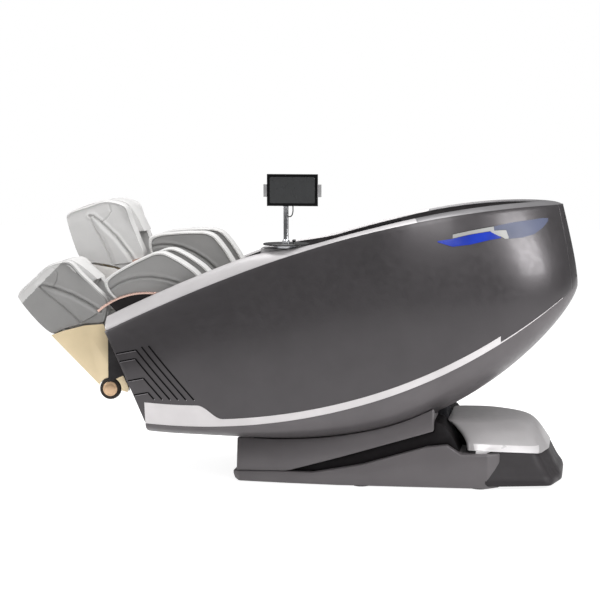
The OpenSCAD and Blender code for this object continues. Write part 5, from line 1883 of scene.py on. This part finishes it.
# ------------------------------------------------------------------ seat
@dataclass
class Seat:
    """Seat, back, pillow and arm pads, with the seams of the seat and the back."""

    back_foot: tuple[float, float] = (-0.150, 0.450)
    back_angle: float = math.radians(35)
    half_w: float = 0.232
    seat_top: Outline = (
        (-562, 566), (-548, 596), (-520, 606), (-440, 584), (-320, 520), (-240, 484), (-170, 470),
    )
    seat_low: Outline = (
        (-556, 520), (-520, 506), (-420, 458), (-360, 426), (-300, 394), (-240, 390), (-176, 384),
    )
    back_half: Point = (0.303, 0.232, 0.027)
    back_mid: float = 0.337
    pillow_half: Point = (0.080, 0.102, 0.0225)
    pillow_mid: float = 0.544
    arm_y: float = 0.268
    arm_half: float = 0.0305
    seat_out: Point = (0.35, 0.0, 1.0)
    stitch_lift: float = 0.0003
    seat_channels: tuple[float, ...] = (0.30, 0.48, 0.66, 0.84)
    arm: Outline = (
        (-528, 560), (-520, 640), (-480, 700), (-380, 724), (-240, 730), (-60, 752), (4, 744),
        (16, 700), (-20, 610), (-200, 560),
    )
    stitches: NodeTool | None = None

    def build(self, stitches: NodeTool) -> None:
        """Builds and fits the seat's pads."""
        self.stitches = stitches
        self._seat()
        self._back()
        self._pillow()
        self._arms()

    def _finish(
        self, obj: bpy.types.Object, body: str, node: str
    ) -> None:
        """Smooths a pad and hands it over."""
        smooth(obj, 60.0)
        fit(obj, body, [node])

    def _seat(self) -> None:
        """The seat cushion: a bent pad with side bolsters and cross channels."""
        half = np.array([0.215, self.half_w, 0.043])
        verts, faces = stuffed((60, 56, 12), tuple(half), 0.030, 0.006, 0.010)
        share = verts / half
        t = (share[:, 0] + 1) / 2
        top = spaced(np.array(soft_path(self.seat_top)) * MM, 60, False)
        low = spaced(np.array(soft_path(self.seat_low)) * MM, 60, False)
        at = np.linspace(0, 1, 60)
        up = np.stack([np.interp(t, at, top[:, k]) for k in range(2)], axis=1)
        down = np.stack([np.interp(t, at, low[:, k]) for k in range(2)], axis=1)
        rise = (share[:, 2:] + 1) / 2
        normal = (up - down) / np.linalg.norm(up - down, axis=1, keepdims=True)
        crown = np.where(share[:, 2] > 0, 1.0, 0.0) * np.clip(share[:, 2], 0, 1) ** 2
        side_lift = 0.012 * ease((np.abs(share[:, 1]) - 0.66) / 0.2)
        dips = sum(np.exp(-(((t - c) / 0.008) ** 2)) for c in self.seat_channels)
        channels = -0.0045 * dips * (np.abs(share[:, 1]) < 0.70)
        seam = -0.006 * np.exp(-(((np.abs(share[:, 1]) - 0.70) / 0.012) ** 2))
        puff = 0.004 * (1 - share[:, 0] ** 2) * (1 - share[:, 1] ** 2)
        plane = (
            down + (up - down) * rise
            + normal * (crown * (side_lift + channels + seam + puff - 0.004))[:, None]
        )
        pull = 1 - 0.018 * (1 - share[:, 0] ** 2)
        points = np.column_stack([plane[:, 0], verts[:, 1] * pull, plane[:, 1]])
        obj = mesh_object("seat_cushion_leather", points, faces, LEATHER_SEAT)
        heal(obj, 1e-5)
        self._finish(obj, "pod", "seat_cushion")
        seams = []
        for y in (-0.1675, -0.1575, 0.1575, 0.1675):
            line = spaced(top, 90, False)[4:-4]
            seams.append(laid_on(obj, at_y(line, y), self.seat_out, self.stitch_lift))
        for t in self.seat_channels:
            spot = [float(np.interp(t + 0.018, at, top[:, k])) for k in range(2)]
            y = np.linspace(-0.150, 0.150, 60)
            row = np.column_stack([np.full(60, spot[0]), y, np.full(60, spot[1])])
            seams.append(laid_on(obj, row, self.seat_out, self.stitch_lift))
        self._sew("seat_stitches", seams)

    def on_back(self, along: np.ndarray, out: np.ndarray) -> tuple[np.ndarray, np.ndarray]:
        """X and Z of a place on the backrest."""
        c, s = math.cos(self.back_angle), math.sin(self.back_angle)
        return self.back_foot[0] + c * along - s * out, self.back_foot[1] + s * along + c * out

    def liner_half(self, x: np.ndarray) -> np.ndarray:
        """Half-width between the liners at the rim, where the back cushion ends."""
        return HULL.wall_y(x, np.ones_like(x), 0.062) - 0.014

    def _back(self) -> None:
        """The back cushion: bolsters at the sides and sewn cross channels."""
        half = np.array(self.back_half)
        verts, faces = stuffed((96, 64, 8), tuple(half), 0.022, 0.006, 0.008)
        share = verts / half
        along = self.back_mid + verts[:, 0]
        x, _ = self.on_back(along, np.zeros_like(along))
        wide = np.minimum(self.half_w, self.liner_half(x))
        crown = np.clip(share[:, 2], 0, 1) ** 2
        side_lift = 0.010 * ease((np.abs(share[:, 1]) - 0.64) / 0.2)
        lines = np.linspace(-0.82, 0.62, 9)
        dips = sum(np.exp(-(((share[:, 0] - c) / 0.014) ** 2)) for c in lines)
        channels = -0.004 * dips * (np.abs(share[:, 1]) < 0.68)
        seam = -0.006 * np.exp(-(((np.abs(share[:, 1]) - 0.68) / 0.014) ** 2))
        out = (
            -0.029 + verts[:, 2]
            + crown * (side_lift + channels + seam - 0.003 + 0.006 * (1 - share[:, 1] ** 2))
        )
        x, z = self.on_back(along, out)
        points = np.column_stack([x, verts[:, 1] / half[1] * wide, z])
        obj = mesh_object("back_cushion_leather", points, faces, LEATHER_SEAT)
        heal(obj, 1e-5)
        self._finish(obj, "pod", "back_cushion")
        out_way = (-math.sin(self.back_angle), 0.0, math.cos(self.back_angle))
        seams = []
        run = np.linspace(0.060, 0.450, 110)
        x, z = self.on_back(run, np.zeros_like(run))
        for y in (-0.163, -0.152, 0.152, 0.163):
            seams.append(laid_on(obj, at_y(np.column_stack([x, z]), y), out_way, self.stitch_lift))
        for place in self.back_mid + lines[:5] * half[0] + 0.0055:
            x0, z0 = self.on_back(np.array(place), np.array(0.0))
            y = np.linspace(-0.146, 0.146, 60)
            row = np.column_stack([np.full(60, float(x0)), y, np.full(60, float(z0))])
            seams.append(laid_on(obj, row, out_way, self.stitch_lift))
        self._sew("back_stitches", seams)

    def _pillow(self) -> None:
        """The head pillow: a crowned pad."""
        half = np.array(self.pillow_half)
        verts, faces = stuffed((40, 50, 12), tuple(half), 0.020, 0.004, 0.008)
        share = verts / half
        thick = (
            0.30
            + 0.70
            * np.sqrt(np.clip((1 - share[:, 0] ** 2 * 0.9) * (1 - share[:, 1] ** 2 * 0.9), 0, 1))
        )
        along = self.pillow_mid + verts[:, 0] * (1 - 0.05 * (1 - share[:, 1] ** 2))
        out = half[2] + verts[:, 2] * thick * 1.06
        hollow = -0.006 * np.exp(-((share[:, 1] / 0.5) ** 2)) * np.clip(share[:, 2], 0, 1)
        x, z = self.on_back(along, np.maximum(-0.0012, out + hollow))
        wide = 1 - 0.04 * (1 - share[:, 0] ** 2)
        points = np.column_stack([x, verts[:, 1] * wide, z])
        obj = mesh_object("head_pillow_leather", points, faces, LEATHER_LIGHT)
        heal(obj, 1e-5)
        self._finish(obj, "head_pillow", "head_pillow")
        self._pillow_strap()

    def _pillow_strap(self) -> None:
        """The leather strap above the pillow and the steel rod that it ends at."""
        along = np.linspace(0.600, 0.652, 14)
        drop = np.linspace(0.0052, 0.0048, 14)
        rows = []
        for thick in (0.0, -0.0022):
            x, z = self.on_back(along, drop + thick)
            rows.append(
                np.stack(
                    [
                        np.column_stack([x, np.full(14, y), z])
                        for y in np.linspace(-0.092, 0.092, 24)
                    ],
                    axis=1,
                )
            )
        strap = slab("pillow_strap_leather", rows[0], rows[1], LEATHER_GREY_AND_SHADE, 0.0006)
        fit(strap, "head_pillow")
        x, z = self.on_back(np.array(0.652), np.array(0.0))
        place = Matrix.Translation((float(x), 0, float(z))) @ Matrix.Rotation(math.pi / 2, 4, "X")
        profile = [(0, -126), (4.4, -126), (4.95, -125.4), (4.95, 125.4), (4.4, 126), (0, 126)]
        fit(
            revolve("pillow_rod_turned", profile, place, PLAIN_STEEL, 32),
            "head_pillow",
        )

    def _sew(self, name: str, lines: Sequence[np.ndarray], body: str = "pod") -> None:
        """Puts thread stitches along lines."""
        points, edges = chain_edges(lines, False)
        sewn = self.stitches.run(
            name, points, edges, THREAD, Pitch=0.0075, Length=0.005, Thickness=0.00055
        )
        smooth(sewn)
        fit(sewn, body)

    def _arms(self) -> None:
        """The arm pads along both sides of the seat."""
        parts = []
        for side in SIDES:
            pad = OutlinePad(self.arm, side * self.arm_y, self.arm_half, 0.024, 0.003, 220, 24)
            parts.append(pad.build("arm", LEATHER_SEAT))
        obj = join("arm_pads_leather", parts)
        self._finish(obj, "pod", "arm_pads")


# ------------------------------------------------------------------ console and tablet
@dataclass
class Console:
    """The console on the left side: disc, dial, joystick, mast and tablet."""

    mast_x: float = -0.390
    mast_y: float = -0.285
    tablet_x: float = -0.363
    tablet_y: float = -0.313
    tablet_z: float = 1.048
    disc: Outline = (
        (0, 842.0), (13.9, 842.0), (13.9, 852.6), (60, 853.0), (79, 853.2), (81, 854.4),
        (81, 857.4), (79.4, 859.0), (72, 859.0), (71, 858.2), (69.4, 858.2), (68.4, 859.0),
        (30, 859.0), (29, 858.4), (27.6, 858.4), (26.6, 859.0), (0, 859.0),
    )
    dial: Outline = (
        (14.2, 842.4), (35.6, 842.4), (36.6, 843.2), (36.6, 851.6), (35.8, 852.6), (14.2, 852.6),
        (14.2, 842.4),
    )
    stick: Outline = (
        (0, 855.7), (4.0, 855.7), (4.0, 859.4), (3.4, 861.0), (3.2, 862.4), (5.0, 863.4),
        (6.6, 865.2), (7.0, 867.0), (6.7, 869.2), (5.6, 871.2), (3.4, 872.3), (1.2, 872.55),
        (0, 872.6),
    )
    mast: Outline = (
        (0, 822.2), (7, 822.2), (7, 859.3), (16, 859.3), (16, 861.0), (12.9, 866.0),
        (10.9, 871.0), (10.4, 873.3), (9.3, 873.6), (9, 875), (9, 989.4), (7, 989.8),
        (7, 1013.0), (6.2, 1013.8), (0, 1013.8),
    )
    clamp_half_w: float = 0.0902
    route: tuple[Point, ...] = (
        (-0.361, -0.313, 0.9917), (-0.361, -0.313, 0.984), (-0.361, -0.311, 0.976),
        (-0.363, -0.307, 0.966), (-0.367, -0.300, 0.958), (-0.372, -0.293, 0.954),
        (-0.377, -0.287, 0.953), (-0.3807, -0.285, 0.953),
    )

    def cable(self) -> None:
        """The short cable from the tablet's lower edge to the mast."""
        curve = bpy.data.curves.new("tablet_cable_lead", "CURVE")
        curve.dimensions = "3D"
        spline = curve.splines.new("POLY")
        spline.points.add(len(self.route) - 1)
        for point, spot in zip(spline.points, self.route):
            point.co = (*spot, 1.0)
        curve.bevel_depth = 0.002
        curve.bevel_resolution = 3
        curve.use_fill_caps = True
        curve.materials.append(CABLE_BLACK.material())
        obj = bpy.data.objects.new("tablet_cable_lead", curve)
        bpy.context.scene.collection.objects.link(obj)
        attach(obj, "mast")
        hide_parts("tablet_cable")

    def build(self, frame: dict, ribs: NodeTool) -> None:
        """Builds and fits the console's pieces."""
        fit_rounded(frame, "console", "pod", CONSOLE_GREY, 0.005, 30.0, 3)
        at = Matrix.Translation((self.mast_x, self.mast_y, 0))
        disc = revolve("console_disc_turned", self.disc, at, DISC_BLACK, 96, 25.0)
        fit(disc, "pod", ["console_disc"])
        ring = revolve("dial_body", self.dial, at, CHROME, 96, 25.0)
        sizes = {"Width": 0.0016, "Depth": 0.0024, "Height": 0.0086}
        knurls = ribs.run("dial_knurls", circle(0.0367, 72), [], CHROME, **sizes)
        knurls.data.transform(Matrix.Translation((self.mast_x, self.mast_y, 0.8474)))
        dial = join("dial_ring_knurled", [ring, knurls])
        smooth(dial, 25.0)
        fit(dial, "dial", ["dial_ring"])
        beside = Matrix.Translation((self.mast_x + 0.028, self.mast_y + 0.006, 0))
        stick = revolve("joystick_turned", self.stick, beside, KNOB_BLACK, 40, 45.0)
        fit(stick, "joystick", ["joystick"])
        mast = revolve("mast_turned", self.mast, at, CHROME, 48, 30.0)
        fit(mast, "mast", ["mast"])
        fit_rounded(frame, "swivel_head", "mast", RIM_DARK_PAINT, 0.003, 30.0, 3)
        self._tablet(frame)

    def _tablet(self, frame: dict) -> None:
        """The tablet: a rounded housing, whose front is the bezel and whose ends are the silver
        clamps, and the screen.
        """
        housing = rounded_copy(frame, "tablet", SCREEN_BEZEL, 0.0024, 30.0, 3)
        housing.data.materials.append(CLAMP_SILVER.material())
        for poly in housing.data.polygons:
            if abs(poly.center.x - self.tablet_x) > self.clamp_half_w:
                poly.material_index = 1
        fit(housing, "tablet", ["tablet"])
        corners = [(-80, -46), (-80, 46), (80, 46), (80, -46)]
        flat = rounded_polygon(corners, 0.004, 96)
        rings = []
        middle = np.array([self.tablet_x, self.tablet_z])
        for size, y in (
            (0.985, 0.0), (1.0, -0.0002), (1.0, -0.0007), (0.996, -0.0010), (0.5, -0.0010),
        ):
            rings.append(at_y(flat * size + middle, self.tablet_y - 0.005 + y))
        screen = loft("tablet_screen_glass", np.array(rings), SCREEN_GLASS, crease=30.0)
        fit(screen, "tablet", ["tablet_screen"])


# ------------------------------------------------------------------ leg rests
@dataclass
class LegRest:
    """One leg rest, drawn about its knee axis and then turned into place.

    Along its own X the foot end is negative, and Z points towards the toes.
    """

    side: int
    drop: float
    knee: tuple[float, float] = (-0.670, 0.541)
    leg_y: float = 0.152
    channel: float = 0.063
    wall_mid: float = 0.09685
    wall_half: float = 0.03385
    calf: Outline = (
        (-160, 94.3), (-168, 198), (-168, 298), (-164, 370), (-150, 392), (-120, 394), (-40, 374),
        (30, 350), (62, 336), (84, 316), (100, 278), (114, 224), (120, 178), (114, 118),
        (100, 94.3),
    )
    bed: Outline = (
        (-156, 94.3), (-160, 118), (-140, 138), (0, 146), (90, 138), (104, 118), (98, 94.3),
    )
    boot: Outline = (
        (-420, 392), (-421, 566), (-416, 578), (-398, 586), (-330, 584), (-266, 581), (-232, 569),
        (-204, 550), (-188, 530), (-188, 470), (-186, 400), (-190, 330), (-240, 290), (-252, 287),
        (-309, 333), (-381, 375),
    )
    core: Outline = (
        (-384, 210), (-384, 392), (-419, 396), (-420, 566), (-398, 585), (-266, 580), (-232, 568),
        (-190, 532), (-190, 236), (-256, 209), (-290, 205),
    )
    hollow: Outline = (
        (-376, 232), (-376, 516), (-362, 536), (-318, 538), (-290, 500), (-272, 440), (-240, 424),
        (-170, 420), (-170, 246), (-262, 222), (-290, 216), (-360, 216),
    )
    fold_upper: Outline = (
        (-331, 546), (-318, 541), (-295, 506), (-262, 438), (-240, 366), (-231, 324),
    )
    fold_lower: Outline = ((-331, 544), (-327, 500), (-317, 430), (-314, 380), (-316, 345))
    tick: Outline = ((-247, 556), (-248, 532), (-266, 517), (-296, 506))
    slot: Outline = (
        (-150, 356), (-116, 350), (-80, 335), (-44, 312), (-10, 280), (20, 240), (42, 200),
    )
    arc_mid: tuple[float, float] = (-0.251, 0.0645)
    arc_r: float = 0.271
    arc_w: float = 0.009
    arc_y: float = 0.135
    arc_span: tuple[float, float] = (25, 87)
    stitch_share: float = 0.968
    # Height in the leg's frame below which the boot's outer face carries painted shade.
    shade_top: float = 0.548
    shell_inner: float = 0.130
    wheel_y: float = 0.132
    wheel_at: tuple[float, float] = (-0.403, 0.103)
    tyre: Outline = (
        (0, -12), (27, -12), (28, -11.4), (34, -11.6), (36.6, -10.4), (38, -7.6), (38, 7.6),
        (36.6, 10.4), (34, 11.6), (28, 11.4), (27, 10.6), (0, 10.6),
    )
    hub_cap: Outline = (
        (0, 9.0), (26.4, 9.0), (26.4, 11.6), (25.4, 12.5), (22.4, 12.9), (21.6, 12.4),
        (20.6, 12.4), (19.8, 12.9), (8, 13.6), (0, 13.8),
    )
    boot_seam: Outline = (
        (-417, 400), (-418, 565), (-398, 583), (-268, 578), (-234, 566), (-194, 532),
    )

    @property
    def tag(self) -> str:
        """The side's name."""
        return SIDE_NAMES[self.side]

    def place(self) -> Matrix:
        """From the leg's own frame to the chair's."""
        shift = Matrix.Translation((self.knee[0], self.side * self.leg_y, self.knee[1]))
        return shift @ Matrix.Rotation(-self.drop, 4, "Y")

    def put(self, obj: bpy.types.Object) -> bpy.types.Object:
        """Turns a piece into the chair's frame."""
        obj.data.transform(self.place())
        return obj

    def build(self, frame: dict, tools: dict[str, NodeTool]) -> None:
        """Builds and fits the leg's pieces."""
        leg, foot = f"leg_{self.tag}", f"foot_{self.tag}"
        fit_rounded(frame, f"leg_frame_{self.tag}", leg, LEG_BLACK, 0.0012)
        self._arc(leg)
        self._calf(leg, tools)
        self._boot(foot, tools)
        self._shell(frame, foot)
        self._wheels(f"wheels_{self.tag}", tools)

    def _arc(self, body: str) -> None:
        """The rose-gold arcs on the leg's plates."""
        parts = []
        section = rounded_polygon([(-4.4, -2.4), (-4.4, 2.4), (4.4, 2.4), (4.4, -2.4)], 0.0016, 24)
        for y in (-self.arc_y, self.arc_y):
            rings = []
            for a in np.radians(np.linspace(*self.arc_span, 63)):
                r = self.arc_r - self.arc_w / 2 + section[:, 0]
                arc = np.column_stack([r * math.cos(a), r * math.sin(a)]) + self.arc_mid
                rings.append(at_y(arc, y + section[:, 1]))
            parts.append(loft("arc", np.array(rings), ROSE_GOLD, crease=50.0))
        fit(
            self.put(join(f"arc_trim_{self.tag}_brushed", parts)),
            body,
            [f"arc_trim_{self.tag}"],
        )

    def _calf_dent(self, points: np.ndarray) -> np.ndarray:
        """Relief of a calf pad's face: one curved sewn slot."""
        away = to_line(points, self.slot)
        return (
            -0.0060 * np.exp(-((away / 0.0030) ** 2))
            + 0.0024 * np.exp(-(((away - 0.009) / 0.006) ** 2))
        )

    def _calf(self, body: str, tools: dict[str, NodeTool]) -> None:
        """The calf pads: two side walls with inset faces, and the bed between them."""
        parts = []
        for y in (-self.wall_mid, self.wall_mid):
            pad = OutlinePad(
                self.calf, y, self.wall_half, 0.016, 0.003, 230, 40, panel=0.945, inset=0.0035
            )
            # Painted shade: inside the panel seam the faces take the grey leather, and the border
            # keeps the light leather.
            parts.append(pad.build("wall", LEATHER_LIGHT, self._calf_dent, LEATHER_GREY_AND_SHADE))
        bed = OutlinePad(self.bed, 0.0, 0.0626, 0.012, 0.0, 120, 12)
        parts.append(bed.build("bed", LEATHER_GREY_AND_SHADE))
        pads = join(f"calf_pads_{self.tag}_leather", parts)
        smooth(self.put(pads), 60.0)
        fit(pads, body, [f"calf_pads_{self.tag}"])
        lines = []
        for y in (-self.wall_mid, self.wall_mid):
            for side in SIDES:
                pad = OutlinePad(self.calf, y, self.wall_half)
                middle, _ = pad.frame()
                size = pad.scale_at(math.radians(pad.edge_turn))
                loop = middle + (pad.loop() - middle) * size * self.stitch_share
                depth = y + side * (self.wall_half + 0.0010)
                lines.append(at_y(loop, depth))
        points, edges = chain_edges(lines, True)
        sizes = {"Pitch": 0.0085, "Length": 0.0055, "Thickness": 0.0006}
        name = f"calf_stitches_{self.tag}"
        stitches = tools["stitches"].run(name, points, edges, THREAD, **sizes)
        smooth(self.put(stitches))
        fit(stitches, body)

    def _boot_dent(self, points: np.ndarray) -> np.ndarray:
        """Relief of a boot's face: a folded V that opens towards the heel, and a short seam."""
        upper, lower = to_line(points, self.fold_upper), to_line(points, self.fold_lower)
        flap = np.array(self.fold_upper + self.fold_lower[::-1], float) * MM
        inside = inside_outline(points, flap)
        reach = np.minimum(upper, lower)
        fold = 0.0075 * ease(reach / 0.020) * inside
        crease = (
            -0.0062 * np.exp(-((upper / 0.0032) ** 2)) - 0.0050 * np.exp(-((lower / 0.0030) ** 2))
        )
        lip = 0.0036 * np.exp(-(((upper - 0.008) / 0.005) ** 2)) * (1 - inside)
        seam = -0.0042 * np.exp(-((to_line(points, self.tick) / 0.0024) ** 2))
        shoulder = -0.010 * ease((points[:, 0] + 0.262) / 0.075) * ease((points[:, 1] - 0.40) / 0.1)
        toe = -0.006 * ease((points[:, 1] - 0.535) / 0.05)
        return fold + crease + lip + seam + shoulder + toe

    def _boot(self, body: str, tools: dict[str, NodeTool]) -> None:
        """The foot boot: two padded walls and the sole with its hollow for the foot."""
        parts = []
        for y in (-self.wall_mid, self.wall_mid):
            pad = OutlinePad(self.boot, y, self.wall_half, 0.014, 0.003, 260, 60)
            wall = pad.build("wall", LEATHER_LIGHT, self._boot_dent)
            # Painted shade: the outer wall's face below the fold gets the grey leather, darker than
            # the rest of the boot.
            if self.side * y > 0:
                self._paint_outer_shade(wall, y)
            parts.append(wall)
        parts.append(self._core())
        boot = join(f"boot_{self.tag}_leather", parts)
        smooth(self.put(boot), 60.0)
        fit(boot, body, [f"boot_{self.tag}"])
        lines = []
        seam = np.array(self.boot_seam) / 1000
        for y in (-self.channel - 0.0005, self.channel + 0.0005):
            lines.append(at_y(seam, y))
        points, edges = chain_edges(lines, False)
        piping = tools["piping"].run(
            f"boot_piping_{self.tag}", points, edges, SOLE_GREY, Radius=0.0016, Spacing=0.004
        )
        smooth(self.put(piping), 50.0)
        fit(piping, body)

    def _paint_outer_shade(self, wall: bpy.types.Object, y: float) -> None:
        """Paints shade on the outer face of a wall below the fold, with the grey leather."""
        wall.data.materials.append(LEATHER_GREY_AND_SHADE.material())
        sign = 1 if y > 0 else -1
        for poly in wall.data.polygons:
            c = poly.center
            if (c.y - y) * sign > self.wall_half * 0.75 and c.z < self.shade_top:
                poly.material_index = 1

    def _core(self) -> bpy.types.Object:
        """The sole and toe between the walls, with the hollow for the foot."""
        out = smooth_loop(self.core, 240)
        cut = smooth_loop(self.hollow, 200)
        body = self._prism("core", out, self.channel - 0.0006, LEATHER_LIGHT)
        tool = self._prism("hollow", cut, self.channel + 0.02, LEATHER_GREY_AND_SHADE)
        carve(body, tool)
        discard(tool)
        round_edges(body, 0.003, 2, 50.0)
        smooth(body, 50.0)
        return body

    @staticmethod
    def _prism(name: str, loop: np.ndarray, half: float, finish: Finish) -> bpy.types.Object:
        """A closed prism over a loop in X and Z."""
        return loft(name, np.array([at_y(loop, y) for y in (-half, half)]), finish)

    def _shell(self, frame: dict, body: str) -> None:
        """The champagne foot shell, pale on its inner side."""
        name = f"foot_shell_{self.tag}"
        shell = rounded_copy(frame, name, CHAMPAGNE, 0.0014, 30.0, 2)
        shell.data.materials.append(SHELL_PALE.material())
        limit = self.side * self.leg_y
        for poly in shell.data.polygons:
            if (poly.center.y - limit) * self.side < self.shell_inner:
                poly.material_index = 1
        fit(shell, body, [name])

    def _wheels(self, body: str, tools: dict[str, NodeTool]) -> None:
        """The two transport wheels: ribbed tyre, rim and hub cap."""
        parts = []
        x, z = self.wheel_at
        sizes = {"Width": 0.0022, "Depth": 0.0012, "Height": 0.015}
        for sign in SIDES:
            upright = Matrix.Rotation(-sign * math.pi / 2, 4, "X")
            aim = Matrix.Translation((x, sign * self.wheel_y, z)) @ upright
            parts.append(revolve("tyre", self.tyre, aim, TYRE_RUBBER, 72, 40.0))
            parts.append(revolve("cap", self.hub_cap, aim, HUB_GOLD, 64, 30.0))
            ribs = tools["ribs"].run("tread", circle(0.0378, 36), [], TYRE_RUBBER, **sizes)
            ribs.data.transform(aim)
            parts.append(ribs)
        aim = Matrix.Translation((x, 0, z)) @ Matrix.Rotation(math.pi / 2, 4, "X")
        bar = [(0, -131), (6, -131), (6, 131), (0, 131)]
        parts.append(revolve("axle", bar, aim, PLAIN_STEEL, 32))
        wheels = join(f"wheels_{self.tag}_turned", parts)
        smooth(self.put(wheels), 35.0)
        fit(wheels, body, [f"wheels_{self.tag}"])


def circle(radius: float, count: int) -> np.ndarray:
    """Points of a circle about the origin, in the XY plane."""
    turn = np.linspace(0, 2 * math.pi, count, endpoint=False)
    return np.column_stack([radius * np.cos(turn), radius * np.sin(turn), np.zeros(count)])


def inside_outline(points: np.ndarray, outline: np.ndarray) -> np.ndarray:
    """Whether points lie inside a closed outline, as 1 or 0.

    Args:
        points: two columns.
        outline: the outline's corners.

    Returns:
        1 for each point inside.
    """
    inside = np.zeros(len(points), bool)
    for a, b in zip(outline, np.roll(outline, -1, axis=0)):
        crosses = (a[1] > points[:, 1]) != (b[1] > points[:, 1])
        if not crosses.any():
            continue
        at = a[0] + (points[:, 1] - a[1]) / (b[1] - a[1] + 1e-12) * (b[0] - a[0])
        inside ^= crosses & (points[:, 0] < at)
    return inside.astype(float)


# ------------------------------------------------------------------ studio
@dataclass
class Studio:
    """Camera, floor and soft light."""

    target: Point = (-0.380, 0.0, 0.630)
    distance: float = 8.0
    azimuth: float = math.radians(8)
    elevation: float = math.radians(5.5)
    lens: float = 130.6
    floor_half: float = 14.0
    floor_grey: float = 0.78
    seen_grey: float = 0.36
    floor_glow: float = 0.9
    room_rise: tuple[float, float, float, float] = (0.04, 0.62, 0.10, 0.46)
    lamps: tuple[tuple[str, Point, Point, float, float], ...] = (
        ("overhead", (-0.6, 0.4, 4.2), (-0.3, 0.0, 0.5), 3.0, 138.0),
        ("head_end", (3.9, -1.2, 2.1), (0.4, 0.0, 0.6), 1.4, 85.0),
        ("front_high", (1.6, -4.4, 3.7), (0.2, -0.3, 0.8), 2.4, 95.0),
        ("foot_end", (-4.0, -1.8, 2.4), (-0.9, 0.0, 0.6), 1.6, 45.0),
    )

    def camera(self) -> None:
        """Places the camera."""
        back = Vector(
            (
                math.sin(self.azimuth) * math.cos(self.elevation),
                -math.cos(self.azimuth) * math.cos(self.elevation),
                math.sin(self.elevation),
            )
        )
        data = bpy.data.cameras.new("camera")
        data.lens = self.lens
        data.sensor_width = 36.0
        data.clip_end = 60.0
        obj = bpy.data.objects.new("camera", data)
        obj.location = Vector(self.target) + back * self.distance
        obj.rotation_euler = (-back).to_track_quat("-Z", "Y").to_euler()
        bpy.context.scene.collection.objects.link(obj)
        bpy.context.scene.camera = obj

    def floor(self) -> None:
        """A plain pale floor that keeps the object's shadow."""
        size = self.floor_half
        floor = mesh_object(
            "studio_floor",
            np.array([(-size, -size, 0), (size, -size, 0), (size, size, 0), (-size, size, 0)]),
            [(0, 1, 2, 3)],
            BEZEL_PALE,
        )
        material = bpy.data.materials.new("studio_floor")
        nodes = Nodes(material)
        plain = nodes.add("ShaderNodeBsdfDiffuse", {"Color": (*[self.floor_grey] * 3, 1)})
        seen = nodes.add("ShaderNodeBsdfDiffuse", {"Color": (*[self.seen_grey] * 3, 1)})
        white = {"Color": (1, 1, 1, 1), "Strength": self.floor_glow}
        glow = nodes.add("ShaderNodeEmission", white)
        total = nodes.add("ShaderNodeAddShader")
        nodes.wire((seen.outputs[0], total.inputs[0]), (glow.outputs[0], total.inputs[1]))
        self._choose(nodes, self._looked_at(nodes), plain, total, "ShaderNodeOutputMaterial")
        floor.data.materials.clear()
        floor.data.materials.append(material)

    @staticmethod
    def _choose(
        nodes: Nodes,
        share: bpy.types.NodeSocket,
        first: bpy.types.Node,
        second: bpy.types.Node,
        end: str,
    ) -> None:
        """Ends a tree in a blend of two shaders."""
        choose = nodes.add("ShaderNodeMixShader")
        output = nodes.add(end)
        nodes.wire(
            (share, choose.inputs[0]),
            (first.outputs[0], choose.inputs[1]),
            (second.outputs[0], choose.inputs[2]),
            (choose.outputs[0], output.inputs["Surface"]),
        )

    @staticmethod
    def _looked_at(nodes: Nodes) -> bpy.types.NodeSocket:
        """1 for camera, mirror and see-through rays."""
        path = nodes.add("ShaderNodeLightPath")
        first = nodes.add("ShaderNodeMath", operation="MAXIMUM")
        second = nodes.add("ShaderNodeMath", operation="MAXIMUM")
        nodes.wire(
            (path.outputs["Is Camera Ray"], first.inputs[0]),
            (path.outputs["Is Glossy Ray"], first.inputs[1]),
            (first.outputs[0], second.inputs[0]),
            (path.outputs["Is Transmission Ray"], second.inputs[1]),
        )
        return second.outputs[0]

    def light(self) -> None:
        """A pale room, brighter towards its top, and four large soft lamps."""
        scene = bpy.context.scene
        scene.view_settings.view_transform = "Standard"
        world = bpy.data.worlds.new("room")
        scene.world = world
        nodes = Nodes(world)
        path = nodes.add("ShaderNodeLightPath")
        room = nodes.add("ShaderNodeBackground", {"Color": (1, 1, 1, 1)})
        white = nodes.add("ShaderNodeBackground", {"Color": (1, 1, 1, 1)})
        way = nodes.add("ShaderNodeTexCoord")
        split = nodes.add("ShaderNodeSeparateXYZ")
        rise = nodes.add("ShaderNodeMapRange", dict(enumerate(self.room_rise, 1)))
        nodes.wire(
            (way.outputs["Generated"], split.inputs[0]),
            (split.outputs["Z"], rise.inputs["Value"]),
            (rise.outputs[0], room.inputs["Strength"]),
        )
        self._choose(nodes, path.outputs["Is Camera Ray"], room, white, "ShaderNodeOutputWorld")
        for lamp in self.lamps:
            self._lamp(*lamp)

    @staticmethod
    def _lamp(name: str, place: Point, target: Point, size: float, power: float) -> None:
        """One square soft lamp that looks at a target."""
        data = bpy.data.lights.new(name, "AREA")
        data.shape = "SQUARE"
        data.size = size
        data.energy = power
        obj = bpy.data.objects.new(name, data)
        obj.location = place
        obj.rotation_euler = (Vector(target) - Vector(place)).to_track_quat("-Z", "Y").to_euler()
        bpy.context.scene.collection.objects.link(obj)


def main() -> None:
    """Builds the chair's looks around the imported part."""
    logging.basicConfig(level=logging.INFO, format="%(name)s: %(message)s")
    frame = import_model()
    studio = Studio()
    studio.camera()
    console = Console()
    console.cable()
    tools = {"stitches": stitch_tool(), "piping": piping_tool(), "ribs": rib_tool()}
    PodShell().build()
    PodRim().build()
    Base().build(frame)
    Mechanism().build(frame)
    Seat().build(tools["stitches"])
    console.build(frame, tools["ribs"])
    LegRest(-1, math.radians(45)).build(frame, tools)
    LegRest(1, math.radians(21)).build(frame, tools)
    studio.floor()
    studio.light()


if __name__ == "__main__":
    main()
